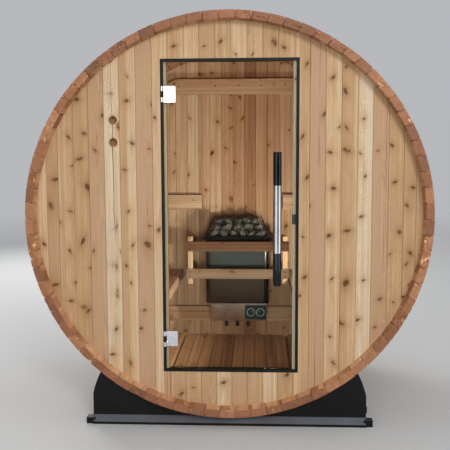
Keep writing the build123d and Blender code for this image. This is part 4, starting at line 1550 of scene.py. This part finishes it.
# Studio: a pale floor that fades into the sky, soft lights in front and a small lamp in the room
inRoom = ["rear_wall_boards", "wall_cleats", "floor_slats", "left_seat_slats", "left_seat_fascia",
          "right_seat_slats", "right_seat_fascia", "guard_uprights", "loose_stones", "cage_rods"]
atHeater = ["guard_rails_front", "guard_rails_side", "heater_controls", "heater_body", "heater_rim",
            "control_box", "cable_glands"]
handles = ["pull_handle", "inner_pull_handle"]
studio = {
    "floorSize": 60.0,
    "floorColour": paint(206, 206, 204),
    "fadeFrom": 5.0,
    "fadeTo": 13.0,
    "horizonColour": paint(226, 228, 232),
    "horizonStrength": 0.62,
    "zenithStrength": 0.85,
    "frontStrength": 0.20,
    "lights": [
        {"name": "key", "place": (1.7, -5.9, 3.1), "aim": (0.1, -0.4, 1.2), "size": 1.5, "power": 168},
        {"name": "fill", "place": (-1.6, -6.2, 1.5), "aim": (0.0, -0.4, 0.9), "size": 1.8, "power": 60},
        {"name": "doorway", "place": (0.10, -2.4, 0.70), "aim": (0.0, 0.4, 0.9), "size": 0.4, "power": 30,
         "only": "room", "mirrored": False},
        {"name": "room", "place": (0.50, -0.40, 0.71), "aim": (-0.9, 0.35, 1.15), "size": 0.06,
         "power": 11.5, "only": "walls", "mirrored": False},
        {"name": "edge", "place": (0.46, -0.10, 0.66), "aim": (0.1, 0.4, 0.6), "size": 0.05, "power": 1.0,
         "only": "heater"},
        {"name": "left stripe", "place": (-1.07, -2.1, 0.97), "aim": (0.22, -0.57, 0.97), "size": 0.9,
         "height": 3.0, "power": 14, "only": "handles"},
        {"name": "right stripe", "place": (1.99, -1.5, 0.97), "aim": (0.22, -0.57, 0.97), "size": 0.9,
         "height": 3.0, "power": 14, "only": "handles"},
        {"name": "back", "place": (-2.6, 4.4, 3.4), "aim": (0.0, 0.4, 0.9), "size": 3.0, "power": 130},
    ],
    # a lamp lights one group alone, or everything but the group called front
    "groups": {
        "room": inRoom + atHeater + ["cleat_screws", "guard_screws"],
        "walls": inRoom + ["staves", "cleat_screws"],
        "heater": ["heater_body", "control_box"],
        "handles": handles,
        "front": inRoom + atHeater + handles + ["door_glass"],
    },
}


def makeStudioFloor():
    # far from the object the floor glows like the sky behind it, so no horizon shows
    half = studio["floorSize"] / 2
    data = bpy.data.meshes.new("studio_floor")
    corners = [(-half, -half, 0), (half, -half, 0), (half, half, 0), (-half, half, 0)]
    data.from_pydata(corners, [], [(0, 1, 2, 3)])
    material, tree, spot = startMaterial("studio_floor")
    pale = studio["floorColour"]
    colour = mixColours(grains(spot, 0.8, 3.0), darkened(pale, 0.96, 0.96, 0.96), pale)
    near = surfaceOf(material, colour, 0.85)
    glow = add(tree, "ShaderNodeEmission",
               {"Color": studio["horizonColour"], "Strength": studio["horizonStrength"]})
    share = fades(calcVector("LENGTH", spot), studio["fadeFrom"], studio["fadeTo"])
    shader = add(tree, "ShaderNodeMixShader", {0: share, 1: near, 2: glow})
    data.materials.append(endMaterial(material, shader))
    floor = stand("studio_floor", data)


def makeSky():
    # bright overhead, pale at the horizon and darker low down in front of the object
    world = bpy.data.worlds.new("studio")
    bpy.context.scene.world = world
    world.use_nodes = True
    tree = world.node_tree
    sky = tree.nodes["Background"]
    sky.inputs["Color"].default_value = studio["horizonColour"]
    _, towards, up = separate(add(tree, "ShaderNodeTexCoord", output="Generated"))
    horizon, zenith, front = studio["horizonStrength"], studio["zenithStrength"], studio["frontStrength"]
    inFront = fades(towards, -0.2, -0.8) * fades(up, 0.7, 0.2)
    strength = fades(up, 0.2, 0.9) * (zenith - horizon) + horizon
    feed(sky.inputs["Strength"], inFront * (front - horizon) + strength)


def makeLights():
    groups = {}
    for group, names in studio["groups"].items():
        groups[group] = bpy.data.collections.new(f"{group}_group")
        for name in names:
            groups[group].objects.link(bpy.data.objects[name])
    for entry in groups["front"].collection_objects:
        entry.light_linking.link_state = "EXCLUDE"
    for light in studio["lights"]:
        lamp = bpy.data.lights.new(light["name"], "AREA")
        lamp.shape = "RECTANGLE"
        lamp.size, lamp.size_y = light["size"], light.get("height", light["size"])
        lamp.energy = light["power"]
        holder = stand(light["name"], lamp)
        holder.location = light["place"]
        aim = Vector(light["aim"]) - Vector(light["place"])
        holder.rotation_mode = "QUATERNION"
        holder.rotation_quaternion = aim.to_track_quat("-Z", "Y")
        holder.visible_camera = False
        holder.visible_glossy = light.get("mirrored", True)
        holder.light_linking.receiver_collection = groups[light.get("only", "front")]


makeStudioFloor()
makeSky()
makeLights()
bpy.context.scene.view_settings.view_transform = "Standard"
print("studio lit")
